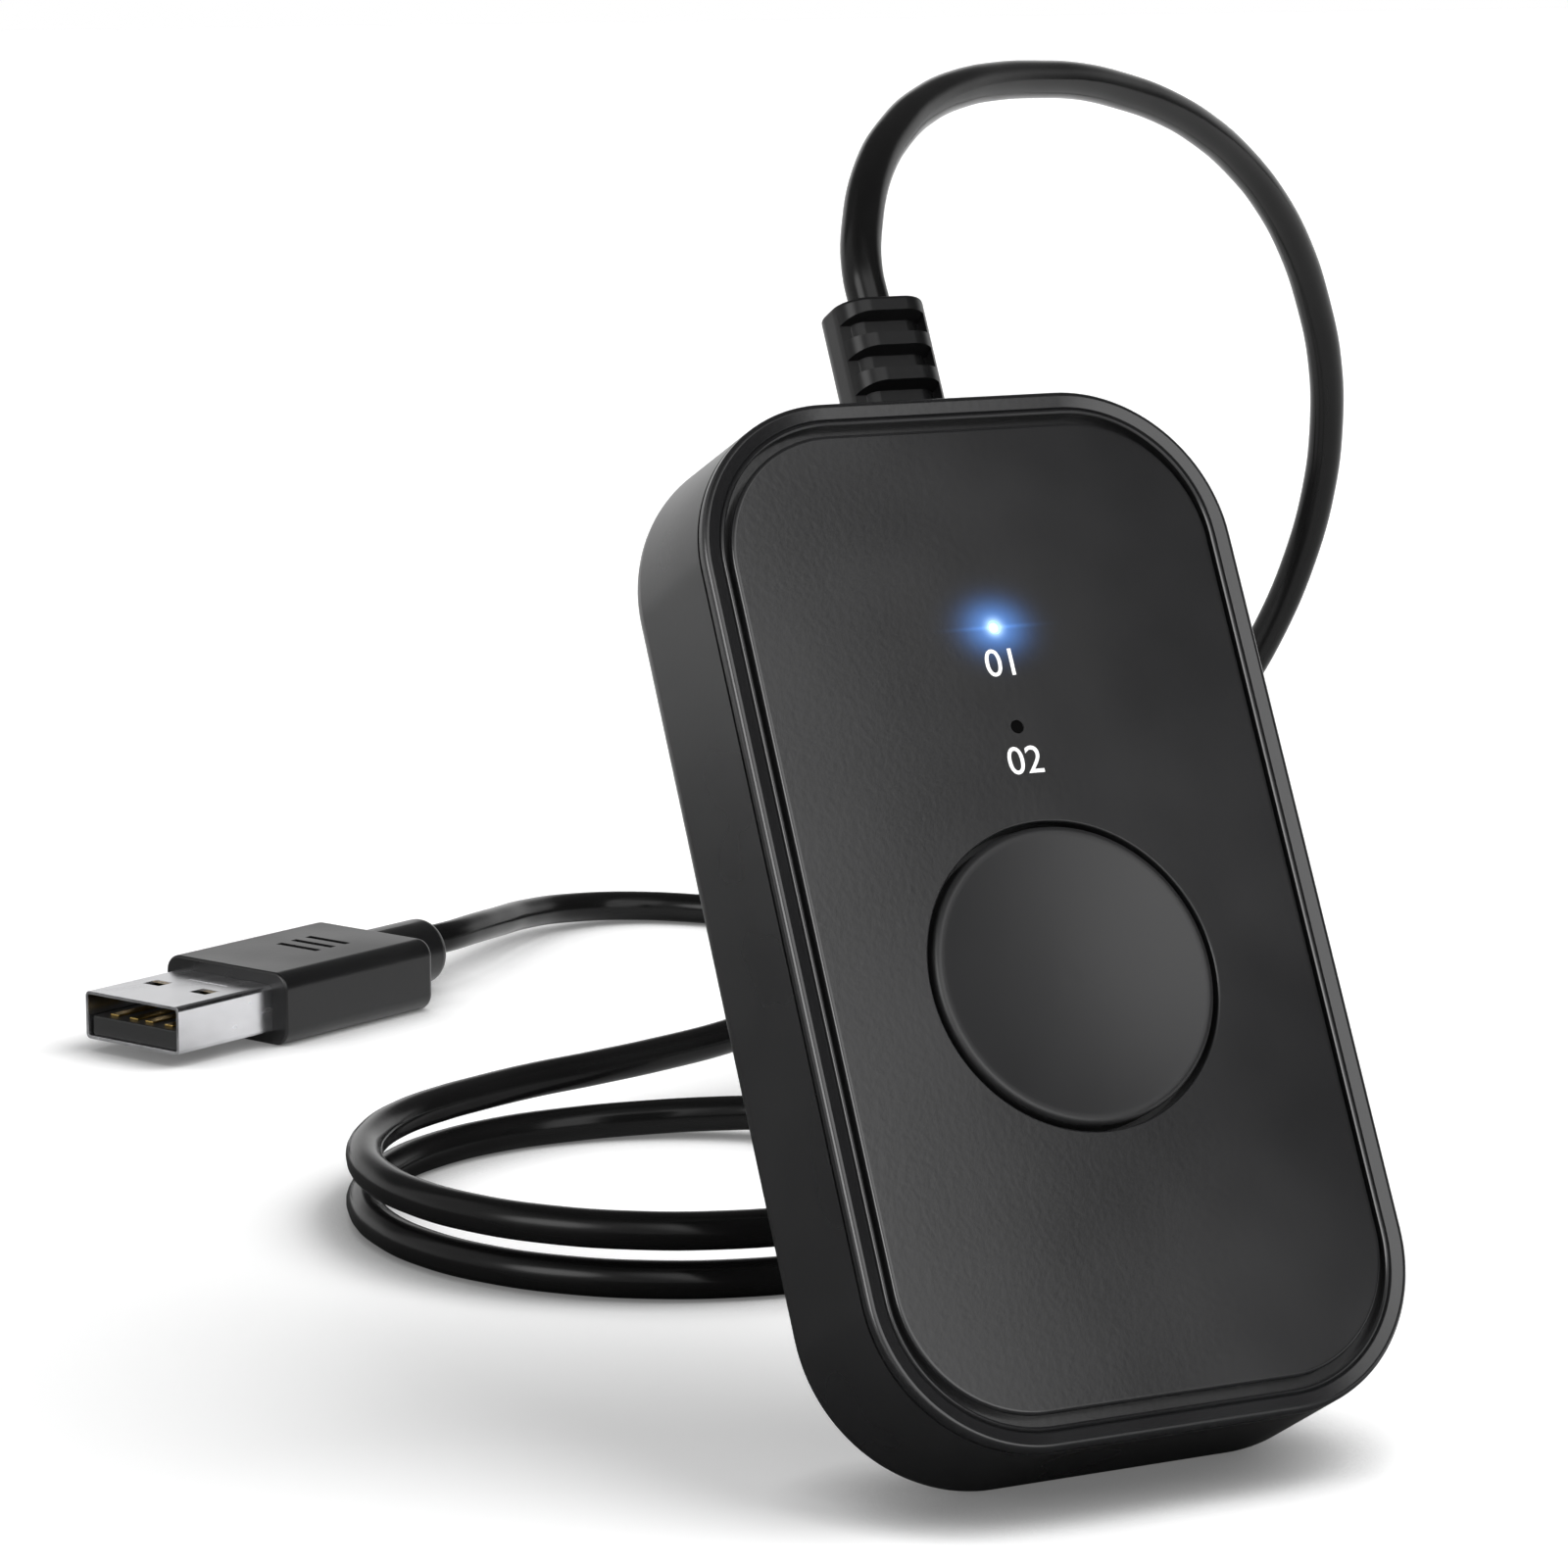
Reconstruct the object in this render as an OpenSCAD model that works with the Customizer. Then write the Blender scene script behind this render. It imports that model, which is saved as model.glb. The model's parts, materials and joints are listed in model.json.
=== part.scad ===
// Desk mouse jiggler: a push-button box on a captive USB cord, leaning back on its lower edge.
// Millimetres, +Z up, +X along the case's width, origin on the desk under the middle of the case.
// The case is drawn in its own frame (x across, y up the face, z from the back to the face)
// and then leaned back by in_case(). The plug is drawn along its own axis by in_plug().

/* [Case] */
// Width of the case at its back
case_w = 42.5; // [41:0.1:48]
// Height of the case at its back
case_h = 75.3; // [73:0.1:84]
// Thickness of the case, back to face
case_t = 12.8; // [12.2:0.1:15]
// Corner radius seen from the front
corner_r = 12; // [10.5:0.1:13]
// How far the walls draw in from the back to the face
draft = 0.55; // [0.3:0.05:0.8]
// Rounding of the back edge
back_edge_r = 2.5; // [1.5:0.1:2.8]
// Rounding of the face's edge
front_edge_r = 0.45; // [0.3:0.05:0.6]
// Side wall
wall = 1.8; // [1.6:0.05:2]
// Back wall
back_wall = 1.6; // [1.4:0.1:2]
// Angle that the case leans back from upright
lean = 27.7; // [20:0.1:35]

/* [Front frame and panel] */
// Thickness of the face panel
panel_t = 1; // [0.8:0.05:1.2]
// Width of the face panel
panel_w = 37.4; // [36:0.1:37.6]
// Height of the face panel
panel_h = 69.4; // [67:0.1:70]
// Corner radius of the face panel
panel_r = 9.3; // [8:0.1:10]
// Groove round the panel
groove_w = 0.35; // [0.25:0.05:0.4]
// Plate of the frame that carries the panel
floor_t = 1; // [0.8:0.05:1.2]
// Depth of the frame's edge that shows on the side
frame_edge = 0.9; // [0.7:0.05:1.1]

/* [Button] */
// Diameter of the button
button_d = 21.2; // [18:0.1:22]
// Gap all round the button
button_gap = 0.4; // [0.3:0.05:0.6]
// Distance of the button's centre below the case's upper end
button_down = 43; // [41.3:0.1:45]
// How far the button stands out of the face
button_proud = 0.3; // [0.1:0.05:0.6]
// Depth of the dish in the button
dish_depth = 0.9; // [0.4:0.05:1]
// Travel of the button
travel = 0.4; // [0.2:0.05:0.4]

/* [Lamps] */
// Distance of the upper lamp below the case's upper end
upper_lamp_down = 17.8; // [17.3:0.1:19]
// Distance of the lower lamp below the case's upper end
lower_lamp_down = 25.1; // [24.5:0.1:26.3]
// Window of a lamp in the panel
window_d = 1; // [0.8:0.05:1.4]
// Diameter of a light pipe
pipe_d = 2; // [1.8:0.1:2.4]

/* [Board] */
// Width of the circuit board
board_w = 30; // [29:0.1:31]
// Thickness of the circuit board
board_t = 1.6; // [1:0.1:1.6]
// Height of the posts under the board
post_h = 2; // [1.8:0.1:2.4]
// Width of the tactile switch
switch_w = 6; // [5.6:0.1:7]

/* [Screws and feet] */
// Thread diameter of the case and board screws
screw_d = 2; // [1.8:0.05:2.2]
// Diameter of the case screws' heads
head_d = 3.8; // [3.5:0.1:4]
// Length of a case screw under its head
case_screw_l = 8; // [7.5:0.1:8]
// Diameter of a screw boss
boss_d = 5; // [4.8:0.1:5.4]
// Diameter of a rubber foot
foot_d = 8; // [7:0.1:9]
// Thickness of a rubber foot
foot_t = 1.2; // [1:0.05:1.6]
// Distance of the feet from the case's sides
foot_in_x = 6.05; // [5.9:0.05:6.4]
// Distance of the feet from the case's ends
foot_in_y = 11; // [10.5:0.1:11.5]

/* [Cord and strain relief] */
// Diameter of the cord
cord_d = 3; // [2.6:0.1:3.2]
// Width of the strain relief
boot_w = 7.15; // [6.6:0.05:7.6]
// Thickness of the strain relief
boot_t = 5.6; // [5.2:0.1:6]
// Length of the strain relief outside the case
boot_l = 9; // [8.5:0.1:11]
// Height of the cord above the case's back
boot_z = 5.9; // [5.4:0.1:6.1]
// Distance from one flex slot to the next
slot_pitch = 2.66; // [2.4:0.02:2.8]
// Width of a flex slot
slot_w = 1.2; // [0.9:0.05:1.3]
// Radius of the cord's loops at the middle of the cord
loop_r = 25.7; // [24.5:0.1:27]
// Height of the upper turn's middle
upper_turn_z = 5.35; // [5.1:0.05:5.8]

/* [Plug] */
// Width of the metal shell
shell_w = 12; // [11.8:0.05:12.2]
// Thickness of the metal shell
shell_t = 4.5; // [4.4:0.05:4.6]
// Length of the shell that shows
shell_l = 12.3; // [11:0.1:13]
// Sheet thickness of the shell
sheet = 0.3; // [0.25:0.01:0.35]
// Width of the plug's body
grip_w = 15.6; // [15:0.1:17]
// Thickness of the plug's body
grip_t = 6.9; // [6.6:0.1:7.6]
// Length of the plug's body
grip_l = 20.4; // [18:0.1:24]
// Diameter of the nub behind the plug's body
nub_d = 6.4; // [5.6:0.1:6.5]
// Length of the nub
nub_l = 7.6; // [6:0.1:9]
// Thickness of the plastic tongue
tongue_t = 1.84; // [1.7:0.02:1.95]

/* [Hidden] */
$fn = 64;

// Clearances
fit = 0.05;         // between fixed pieces that slide together
thread_gap = 0.025; // round a screw in its pilot hole
rest_gap = 0.05;    // under the button's stem, before it meets the switch
eps = 0.01;         // overlap that fuses two parts of one piece

// Levels above the case's back
split_z = case_t - frame_edge;
panel_z = case_t - panel_t;
floor_z = panel_z - floor_t;
board_z = back_wall + post_h;
board_top = board_z + board_t;
rebate_wall = wall / 2;
rebate_z = floor_z - 0.1;
edge_line = 0.12;
inner_r = 0.8;

// Where the case comes to stand
stand_z = back_edge_r * (1 - cos(lean) - sin(lean));
boot_top = case_h + boot_l;
lowest_y = (draft + front_edge_r) * sin(lean) - (case_t - front_edge_r) * cos(lean) - front_edge_r;
highest_y = boot_top * sin(lean) - (boot_z - boot_t / 2) * cos(lean);
stand_y = (lowest_y + highest_y) / 2;

// Heights up the face
button_y = case_h - button_down;
upper_lamp_y = case_h - upper_lamp_down;
lower_lamp_y = case_h - lower_lamp_down;

// Feet and case screws share their places
foot_x = case_w / 2 - foot_in_x;
foot_ys = [foot_in_y, case_h - foot_in_y];
foot_recess = 0.4;
head_seat = 2.6;
head_h = 1.5;
boss_split = 7;

// Board outline and its posts
board_y0 = foot_ys[0] + boss_d / 2 + 1.5;
board_y1 = foot_ys[1] - boss_d / 2 - 0.8;
post_d = 4;
post_in = 2.5;
post_x = board_w / 2 - post_in;
post_ys = [board_y0 + post_in + 0.5, board_y1 - post_in - 0.5];
board_screw_l = 3.8;
board_head_d = 3.4;
board_head_h = 1.2;

// Button
hole_r = button_d / 2 + button_gap;
flange_r = hole_r + 1;
flange_z1 = floor_z - 0.1;
flange_z0 = flange_z1 - 0.8;
button_top = case_t + button_proud;
cap_wall = 1.2;
stem_r = 2.2;
rib_t = 0.8;

// Switch
switch_base_h = 3.1;
cover_t = 0.3;
plunger_top = flange_z0 - 0.5;
plunger_d = 3.5;
collar_d = 4.2;
collar_t = 0.6;
collar_z = board_top + switch_base_h - 0.1 - collar_t;
dome_room_d = collar_d + 0.5;
dome_rise = 0.5;
dome_t = 0.12;
dome_z = collar_z - travel - dome_rise - dome_t - 0.05;

// Light pipes
lamp_h = 1.1;
lamp_gap = 0.2;
pipe_tip_in = 0.1;
pipe_collar_d = pipe_d + 1.2;
pipe_collar_t = 0.8;
pipe_foot = board_top + lamp_h + lamp_gap;

// Strain relief
neck_w = boot_w - 1.6;
neck_t = boot_t - 1.2;
boot_r = 2.2;
boot_cap = 1.5;
slot_count = 3;
slot_depth = 1.2;
spine_w = 0.85;
inner_flange_t = 1.4;
inner_flange_y1 = case_h - wall - draft - 0.1;
tie_t = 2.2;
tie_y1 = inner_flange_y1 - inner_flange_t - 0.1;
cord_end_y = tie_y1 - tie_t - 2.4;

// Parts on the board
chip_x = 8.4;
chip_w = 3.9;
chip_l = 9.9;
chip_t = 1.5;
chip_lift = 0.15;
pin_l = 1.1;
pin_w = 0.4;
pin_pitch = 1.27;
resistor_x = 4;
resistor_l = 2;
resistor_w = 1.25;
resistor_t = 0.8;
resistor_pitch = 2.2;
capacitor_x = 7;
can_l = 10.5;
can_w = 3.6;
can_t = 3.2;
can_up = 4;

// Cord header and wires
header_w = 8;
header_l = 4.5;
header_h = 2.2;
header_x = 6.5;
header_y1 = board_y1 - 0.5;
housing_h = 1.9;
wire_d = 0.6;
wire_pitch = 1.5;
wire_count = 4;
wire_fan = 0.4;

// Loops on the desk: the upper turn comes down to the lower one out of sight
loop_centre = [3.5, 60.8];
loop_start = 115;
loop_end = 660;
loop_steps = 36;
loop_sides = 6;
drop_start = 305;
drop_end = 450;
lower_turn_z = cord_d / 2;

// Plug's place on the desk
plug_place = [-7.1, 137.75];
plug_turn = 25.25;
grip_r = 1.6;
grip_mid_z = grip_t / 2;
shell_in = 6.5;
nub_z = grip_t - nub_d / 2 - 0.05;
exit_z = nub_z + 0.8;
contact_w = 1;
contact_ys = [-3.5, -1, 1, 3.5];

// Arc of radius r round [cx, cy] from angle a0 to a1, in n steps
function arc(cx, cy, r, a0, a1, n) =
    [for (i = [0:n]) let (a = a0 + (a1 - a0) * i / n) [cx + r * cos(a), cy + r * sin(a)]];
function unit(v) = v / norm(v);

// How far the wall has drawn in at a level
function inset(z) = draft * (z - back_edge_r) / (case_t - back_edge_r);
// Distance of the outer wall from a corner's axis at a level
function wall_u(z) = corner_r - inset(z);

// A point of the case's own frame, on the desk
function case_pt(x, y, z) =
    [x, y * sin(lean) - z * cos(lean) - stand_y, y * cos(lean) + z * sin(lean) + stand_z];
function plug_pt(x, z) =
    [plug_place[0] + x * cos(plug_turn), plug_place[1] + x * sin(plug_turn), z];
function loop_dir(a) = [-sin(a), cos(a), 0];
function ease(t) = t * t * (3 - 2 * t);
function loop_z(a) = a <= drop_start ? upper_turn_z
    : a >= drop_end ? lower_turn_z
    : upper_turn_z - (upper_turn_z - lower_turn_z) * ease((a - drop_start) / (drop_end - drop_start));
function loop_pt(a) =
    [loop_centre[0] + loop_r * cos(a), loop_centre[1] + loop_r * sin(a), loop_z(a)];

loop_in = loop_pt(loop_start) - cord_d * loop_dir(loop_start);
loop_out = loop_pt(loop_end) + cord_d * loop_dir(loop_end);
loop_route = concat([loop_in],
    [for (i = [0:loop_steps]) loop_pt(loop_start + (loop_end - loop_start) * i / loop_steps)],
    [loop_out]);

// From the strain relief up, over and down behind the case to the loops
riser_route = concat([case_pt(0, boot_top, boot_z), case_pt(0, boot_top + cord_d, boot_z)],
    [[1.6, 25.7, 82.5], [4.7, 29.9, 86], [9.1, 34.6, 88.6], [14, 39.3, 90.2], [19.3, 43.7, 91.1],
    [24.9, 47.9, 91.4], [30.7, 51.8, 91.3], [36.6, 55.5, 90.9], [42.5, 59, 89.9],
    [48.5, 62.3, 88.4], [54.3, 65.5, 86.2], [59.8, 68.7, 83.3], [64.9, 71.7, 79.6],
    [69.4, 74.7, 75.2], [73.2, 77.7, 70.2], [76.3, 80.5, 64.7], [78.4, 83.3, 58.7],
    [79.4, 86, 52.3], [79.1, 88.5, 45.8], [77.6, 90.8, 39.4], [74.9, 92.8, 33.3],
    [71.3, 94.6, 27.6], [66.7, 96.1, 22.6], [61.2, 97.3, 18.4], [55.2, 98.1, 15.1],
    [48.8, 98.1, 12.4], [42.2, 97.2, 10.2], [35.7, 95.5, 8.5], [29.1, 93.6, 7.2],
    [22.4, 91.8, 6.3], [15.6, 90.5, 5.8], [8.7, 89.3, 5.5], [1.9, 87.8, 5.4]],
    [loop_in]);

// From the loops round to the plug
tail_route = concat([loop_out],
    [[25.3, 44.1, 1.5], [31.1, 49, 1.5], [36.4, 54.5, 1.5], [41.2, 60.4, 1.5], [45.5, 66.6, 1.5],
    [49.5, 73.1, 1.5], [53.2, 79.6, 1.5], [56.7, 86.4, 1.5], [59.8, 93.3, 1.5],
    [62.5, 100.4, 1.5], [64.8, 107.7, 1.5], [66.4, 115.1, 1.5], [67.4, 122.6, 1.5],
    [67.7, 130.2, 1.5], [67.1, 137.7, 1.5], [65.6, 145.2, 1.5], [63.1, 152.3, 1.5],
    [59.8, 159.2, 1.5], [55.3, 165.2, 1.5], [48.9, 169.1, 1.7], [41.5, 168.6, 2.2],
    [35.2, 164.6, 2.9], [29.8, 159.2, 3.6], [24.9, 154.3, 4.2]],
    [plug_pt(grip_l + nub_l + cord_d, exit_z), plug_pt(grip_l + nub_l, exit_z)]);

// Direction of a route at each of its points, with its ends' own directions
function route_dirs(p, first, last) =
    [for (i = [0:len(p) - 1]) i == 0 ? first : i == len(p) - 1 ? last : unit(p[i + 1] - p[i - 1])];
// Carries a sideways vector along the route without twisting it
function carried(dirs, side) =
    len(side) == len(dirs) ? side
    : let (d = dirs[len(side)], s = side[len(side) - 1]) carried(dirs, concat(side, [unit(s - (s * d) * d)]));
function length_of(p) = len(p) < 2 ? 0 : sum([for (i = [1:len(p) - 1]) norm(p[i] - p[i - 1])]);
function sum(v, i = 0) = i >= len(v) ? 0 : v[i] + sum(v, i + 1);

// Least distance between two stretches of one tube that lie at least `apart` points from each other
function self_gap(p, d, apart) =
    min([for (i = [0:len(p) - 1]) for (j = [i + apart:1:len(p) - 1]) norm(p[i] - p[j])]) - d;

// A tube of diameter d along the points p
module tube(p, d, sides, first, last) {
    dirs = route_dirs(p, first, last);
    start = abs(first[2]) > 0.9 ? [1, 0, 0] : [0, 0, 1];
    ups = carried(dirs, [unit(start - (start * first) * first)]);
    rings = [for (i = [0:len(p) - 1]) for (k = [0:sides - 1])
        let (a = 360 * k / sides, s = cross(dirs[i], ups[i]))
        p[i] + d / 2 * (cos(a) * ups[i] + sin(a) * s)];
    n = sides;
    walls = [for (i = [0:len(p) - 2]) for (k = [0:n - 1]) let (m = (k + 1) % n)
        each [[i * n + k, i * n + m, (i + 1) * n + m], [i * n + k, (i + 1) * n + m, (i + 1) * n + k]]];
    near_end = [for (k = [1:n - 2]) [0, k + 1, k]];
    far_end = [for (k = [1:n - 2]) let (b = (len(p) - 1) * n) [b, b + k, b + k + 1]];
    polyhedron(rings, concat(walls, near_end, far_end), convexity = 10);
}

// Sweeps a profile round a rounded rectangle: its x is the distance from a corner's axis
module around(w, h, r) {
    for (i = [0:3]) {
        long = i % 2 == 0 ? w - 2 * r : h - 2 * r;
        cross_w = i % 2 == 0 ? h - 2 * r : w - 2 * r;
        rotate(90 * i) {
            translate([long / 2, cross_w / 2]) rotate_extrude(angle = 90) children();
            translate([long / 2, cross_w / 2]) rotate([90, 0, 0]) linear_extrude(cross_w) children();
        }
    }
}
// The same, with the middle filled between two levels
module block(w, h, r, z0, z1) {
    around(w, h, r) children();
    translate([r - w / 2, r - h / 2, z0]) cube([w - 2 * r, h - 2 * r, z1 - z0]);
}
// A plain rounded slab
module slab(w, h, r, z0, z1) {
    block(w, h, r, z0, z1) translate([0, z0]) square([r, z1 - z0]);
}
module in_case() {
    translate([0, -stand_y, stand_z]) rotate([90 - lean, 0, 0]) children();
}
module at_centre() {
    translate([0, case_h / 2]) children();
}
module at_feet() {
    for (x = [-foot_x, foot_x], y = foot_ys) translate([x, y]) children();
}
module at_posts() {
    for (x = [-post_x, post_x], y = post_ys) translate([x, y]) children();
}
module in_plug() {
    translate([plug_place[0], plug_place[1], 0]) rotate([0, 0, plug_turn]) children();
}
// Lays what is drawn along Z along the plug's axis instead
module along_plug(z) {
    translate([0, 0, z]) rotate([90, 0, 90]) children();
}

// Back shell: wall and back in one profile, posts, screw bosses and the cord's hole
module shell_profile() {
    polygon(concat([[0, 0]],
        arc(corner_r - back_edge_r, back_edge_r, back_edge_r, -90, 0, 6),
        [[wall_u(split_z - edge_line), split_z - edge_line], [wall_u(split_z) - edge_line, split_z],
        [wall_u(rebate_z) - rebate_wall, split_z], [wall_u(rebate_z) - rebate_wall, rebate_z],
        [wall_u(rebate_z) - wall, rebate_z], [corner_r - wall, back_wall + inner_r],
        [corner_r - wall - inner_r, back_wall], [0, back_wall]]));
}
module back_shell() {
    color("#2b2b2c") in_case() difference() {
        union() {
            at_centre() block(case_w, case_h, corner_r, 0, back_wall) shell_profile();
            translate([0, 0, back_wall - eps]) {
                at_feet() cylinder(d = boss_d, h = boss_split - back_wall + eps);
                at_posts() cylinder(d = post_d, h = post_h + eps);
            }
        }
        at_feet() {
            translate([0, 0, -1]) cylinder(d = foot_d + 2 * fit, h = foot_recess + 1);
            translate([0, 0, -1]) cylinder(d = head_d + 0.4, h = head_seat + 1);
            cylinder(d = screw_d + 0.3, h = boss_split + 1);
        }
        at_posts() translate([0, 0, board_z - board_screw_l + board_t - 0.2])
            cylinder(d = screw_d + 2 * thread_gap, h = board_screw_l);
        boot_section(neck_w + 2 * fit, neck_t + 2 * fit, boot_r - 0.6 + fit,
            case_h - 3 * wall, case_h + wall);
    }
}

// Front frame: the rim that shows, the plate under the panel and four bosses
module frame_profile() {
    polygon(concat([[0, floor_z], [wall_u(rebate_z) - rebate_wall - fit, floor_z],
        [wall_u(rebate_z) - rebate_wall - fit, split_z], [wall_u(split_z) - edge_line, split_z],
        [wall_u(split_z + edge_line), split_z + edge_line]],
        arc(wall_u(case_t) - front_edge_r, case_t - front_edge_r, front_edge_r, 0, 90, 4),
        [[0, case_t]]));
}
module front_frame() {
    bead_w = 0.28;
    line_w = 0.16;
    open_r = panel_r + groove_w;
    open_w = panel_w + 2 * groove_w;
    open_h = panel_h + 2 * groove_w;
    line_u = open_r + bead_w;
    color("#232324") in_case() difference() {
        union() {
            at_centre() block(case_w, case_h, corner_r, floor_z, case_t) frame_profile();
            at_feet() translate([0, 0, boss_split]) cylinder(d = boss_d, h = floor_z - boss_split + eps);
        }
        at_centre() slab(open_w, open_h, open_r, panel_z, case_t + 1);
        at_centre() around(open_w, open_h, open_r) polygon([[line_u, case_t + eps],
            [line_u + line_w / 2, case_t - line_w], [line_u + line_w, case_t + eps]]);
        at_feet() translate([0, 0, boss_split - 1])
            cylinder(d = screw_d + 2 * thread_gap, h = panel_z - boss_split + 1 - 0.6);
        translate([0, button_y, floor_z - 1]) cylinder(r = hole_r, h = floor_t + 2);
        for (y = [upper_lamp_y, lower_lamp_y])
            translate([0, y, floor_z - 1]) cylinder(d = pipe_d + 2 * fit, h = floor_t + 2);
    }
}

// Face panel, stuck on the frame's plate
module front_panel() {
    edge_r = 0.3;
    color("#353536") in_case() difference() {
        at_centre() block(panel_w, panel_h, panel_r, panel_z, case_t) polygon(concat([[0, panel_z],
            [panel_r, panel_z]], arc(panel_r - edge_r, case_t - edge_r, edge_r, 0, 90, 3), [[0, case_t]]));
        translate([0, button_y, panel_z - 1]) cylinder(r = hole_r, h = panel_t + 2);
        translate([0, button_y, case_t - 0.12]) cylinder(r1 = hole_r, r2 = hole_r + 0.13, h = 0.13);
        for (y = [upper_lamp_y, lower_lamp_y])
            translate([0, y, panel_z - 1]) cylinder(d = window_d, h = panel_t + 2);
    }
}

// Button cap: dished top, retaining flange, hollow underside with ribs and a stem
module button_cap() {
    cap_r = button_d / 2;
    edge_r = 0.45;
    roof_z = button_top - dish_depth - 1;
    // The dish is part of a large sphere that meets the rim's rounding
    dish_rim = cap_r - 0.8;
    dish_r = (pow(dish_rim, 2) + pow(dish_depth, 2)) / (2 * dish_depth);
    dish_half = asin(dish_rim / dish_r);
    color("#3a3a3b") in_case() translate([0, button_y, 0]) {
        difference() {
            rotate_extrude() polygon(concat([[0, flange_z0], [flange_r, flange_z0],
                [flange_r, flange_z1], [cap_r, flange_z1]],
                arc(cap_r - edge_r, button_top - edge_r, edge_r, 0, 90, 4),
                arc(0, button_top - dish_depth + dish_r, dish_r, dish_half - 90, -90, 12)));
            translate([0, 0, flange_z0 - 1]) cylinder(r = cap_r - cap_wall, h = roof_z - flange_z0 + 1);
        }
        stem_z = plunger_top + rest_gap;
        translate([0, 0, stem_z]) cylinder(r = stem_r, h = roof_z - stem_z + eps);
        for (a = [0, 90]) rotate(a) translate([-cap_r + cap_wall - eps, -rib_t / 2, flange_z0 + 0.3])
            cube([2 * (cap_r - cap_wall + eps), rib_t, roof_z - flange_z0 - 0.3 + eps]);
    }
}

// Tactile switch under the button
module switch_base() {
    color("#18181a") in_case() translate([0, button_y, board_top]) {
        difference() {
            translate([-switch_w / 2, -switch_w / 2, 0]) cube([switch_w, switch_w, switch_base_h]);
            translate([0, 0, dome_z - board_top]) cylinder(d = dome_room_d, h = switch_base_h);
        }
    }
}
module switch_cover() {
    tab_w = 2.4;
    tab_h = 1.6;
    color("silver") in_case() translate([0, button_y, board_top + switch_base_h]) {
        difference() {
            translate([-switch_w / 2, -switch_w / 2, 0]) cube([switch_w, switch_w, cover_t]);
            translate([0, 0, -1]) cylinder(d = plunger_d + 0.2, h = cover_t + 2);
        }
        for (s = [-1, 1]) translate([s > 0 ? switch_w / 2 : -switch_w / 2 - cover_t, -tab_w / 2, -tab_h])
            cube([cover_t, tab_w, tab_h + cover_t]);
    }
}
module switch_dome() {
    rim_r = dome_room_d / 2 - 0.1;
    bend_r = (pow(rim_r, 2) + pow(dome_rise, 2)) / (2 * dome_rise);
    half = asin(rim_r / bend_r);
    steps = 6;
    curve = [for (i = [0:steps]) let (a = half * i / steps)
        [bend_r * sin(a), bend_r * cos(a) - bend_r * cos(half)]];
    color("gainsboro") in_case() translate([0, button_y, dome_z]) rotate_extrude()
        polygon(concat([for (p = curve) [p[0], p[1] + dome_t]],
            [for (i = [steps:-1:0]) curve[i]]));
}
module switch_plunger() {
    color("#2a2a2c") in_case() translate([0, button_y, collar_z]) {
        cylinder(d = collar_d, h = collar_t);
        cylinder(d = plunger_d, h = plunger_top - collar_z);
    }
}

// Circuit board and what is on it
module circuit_board() {
    edge_r = 1;
    color("darkgreen") in_case() difference() {
        translate([0, (board_y0 + board_y1) / 2])
            slab(board_w, board_y1 - board_y0, edge_r, board_z, board_top);
        at_posts() translate([0, 0, board_z - 1]) cylinder(d = screw_d + 0.3, h = board_t + 2);
    }
}
module controller_chip() {
    pins = 8;
    pin_in = 0.05;
    color("#1a1a1c") in_case() translate([-chip_x, lower_lamp_y, board_top]) {
        translate([-chip_w / 2, -chip_l / 2, chip_lift]) cube([chip_w, chip_l, chip_t]);
        for (s = [-1, 1], i = [0:pins - 1])
            translate([s * (chip_w / 2 - pin_in + pin_l / 2) - pin_l / 2,
                (i - (pins - 1) / 2) * pin_pitch - pin_w / 2, 0]) cube([pin_l, pin_w, chip_t / 2]);
    }
}
// Row of resistors beside the chip, pair of capacitors by the switch, crystal can below
module board_parts() {
    color("tan") in_case() translate([0, 0, board_top]) {
        for (i = [0:4]) translate([resistor_x, lower_lamp_y - chip_l / 2 + resistor_pitch * i, 0])
            cube([resistor_l, resistor_w, resistor_t]);
        for (s = [-1, 1]) translate([s * capacitor_x - resistor_l / 2, button_y - resistor_w / 2, 0])
            cube([resistor_l, resistor_w, resistor_t]);
        translate([0, board_y0 + can_up, 0]) {
            for (s = [-1, 1]) translate([s * (can_l - can_w) / 2, 0, 0]) cylinder(d = can_w, h = can_t);
            translate([-(can_l - can_w) / 2, -can_w / 2, 0]) cube([can_l - can_w, can_w, can_t]);
        }
    }
}
module lamp(y) {
    size = [1.6, 3.2];
    in_case() translate([0, y, board_top]) {
        translate([-size[0] / 2, -size[1] / 2, 0]) cube([size[0], size[1], 0.6]);
        translate([-size[0] / 2, -size[1] / 4, 0.6 - eps]) cube([size[0], size[1] / 2, lamp_h - 0.6 + eps]);
    }
}
module upper_lamp() {
    color("deepskyblue") lamp(upper_lamp_y);
}
module lower_lamp() {
    color("ivory") lamp(lower_lamp_y);
}
module light_pipe(y) {
    in_case() translate([0, y, 0]) {
        translate([0, 0, pipe_foot]) cylinder(d = pipe_d, h = panel_z - pipe_foot);
        translate([0, 0, floor_z - pipe_collar_t]) cylinder(d = pipe_collar_d, h = pipe_collar_t);
        translate([0, 0, panel_z - eps])
            cylinder(d = window_d - 2 * fit, h = panel_t - pipe_tip_in + eps);
    }
}
module upper_light_pipe() {
    color("lightcyan") light_pipe(upper_lamp_y);
}
module lower_light_pipe() {
    color("whitesmoke") light_pipe(lower_lamp_y);
}
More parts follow.
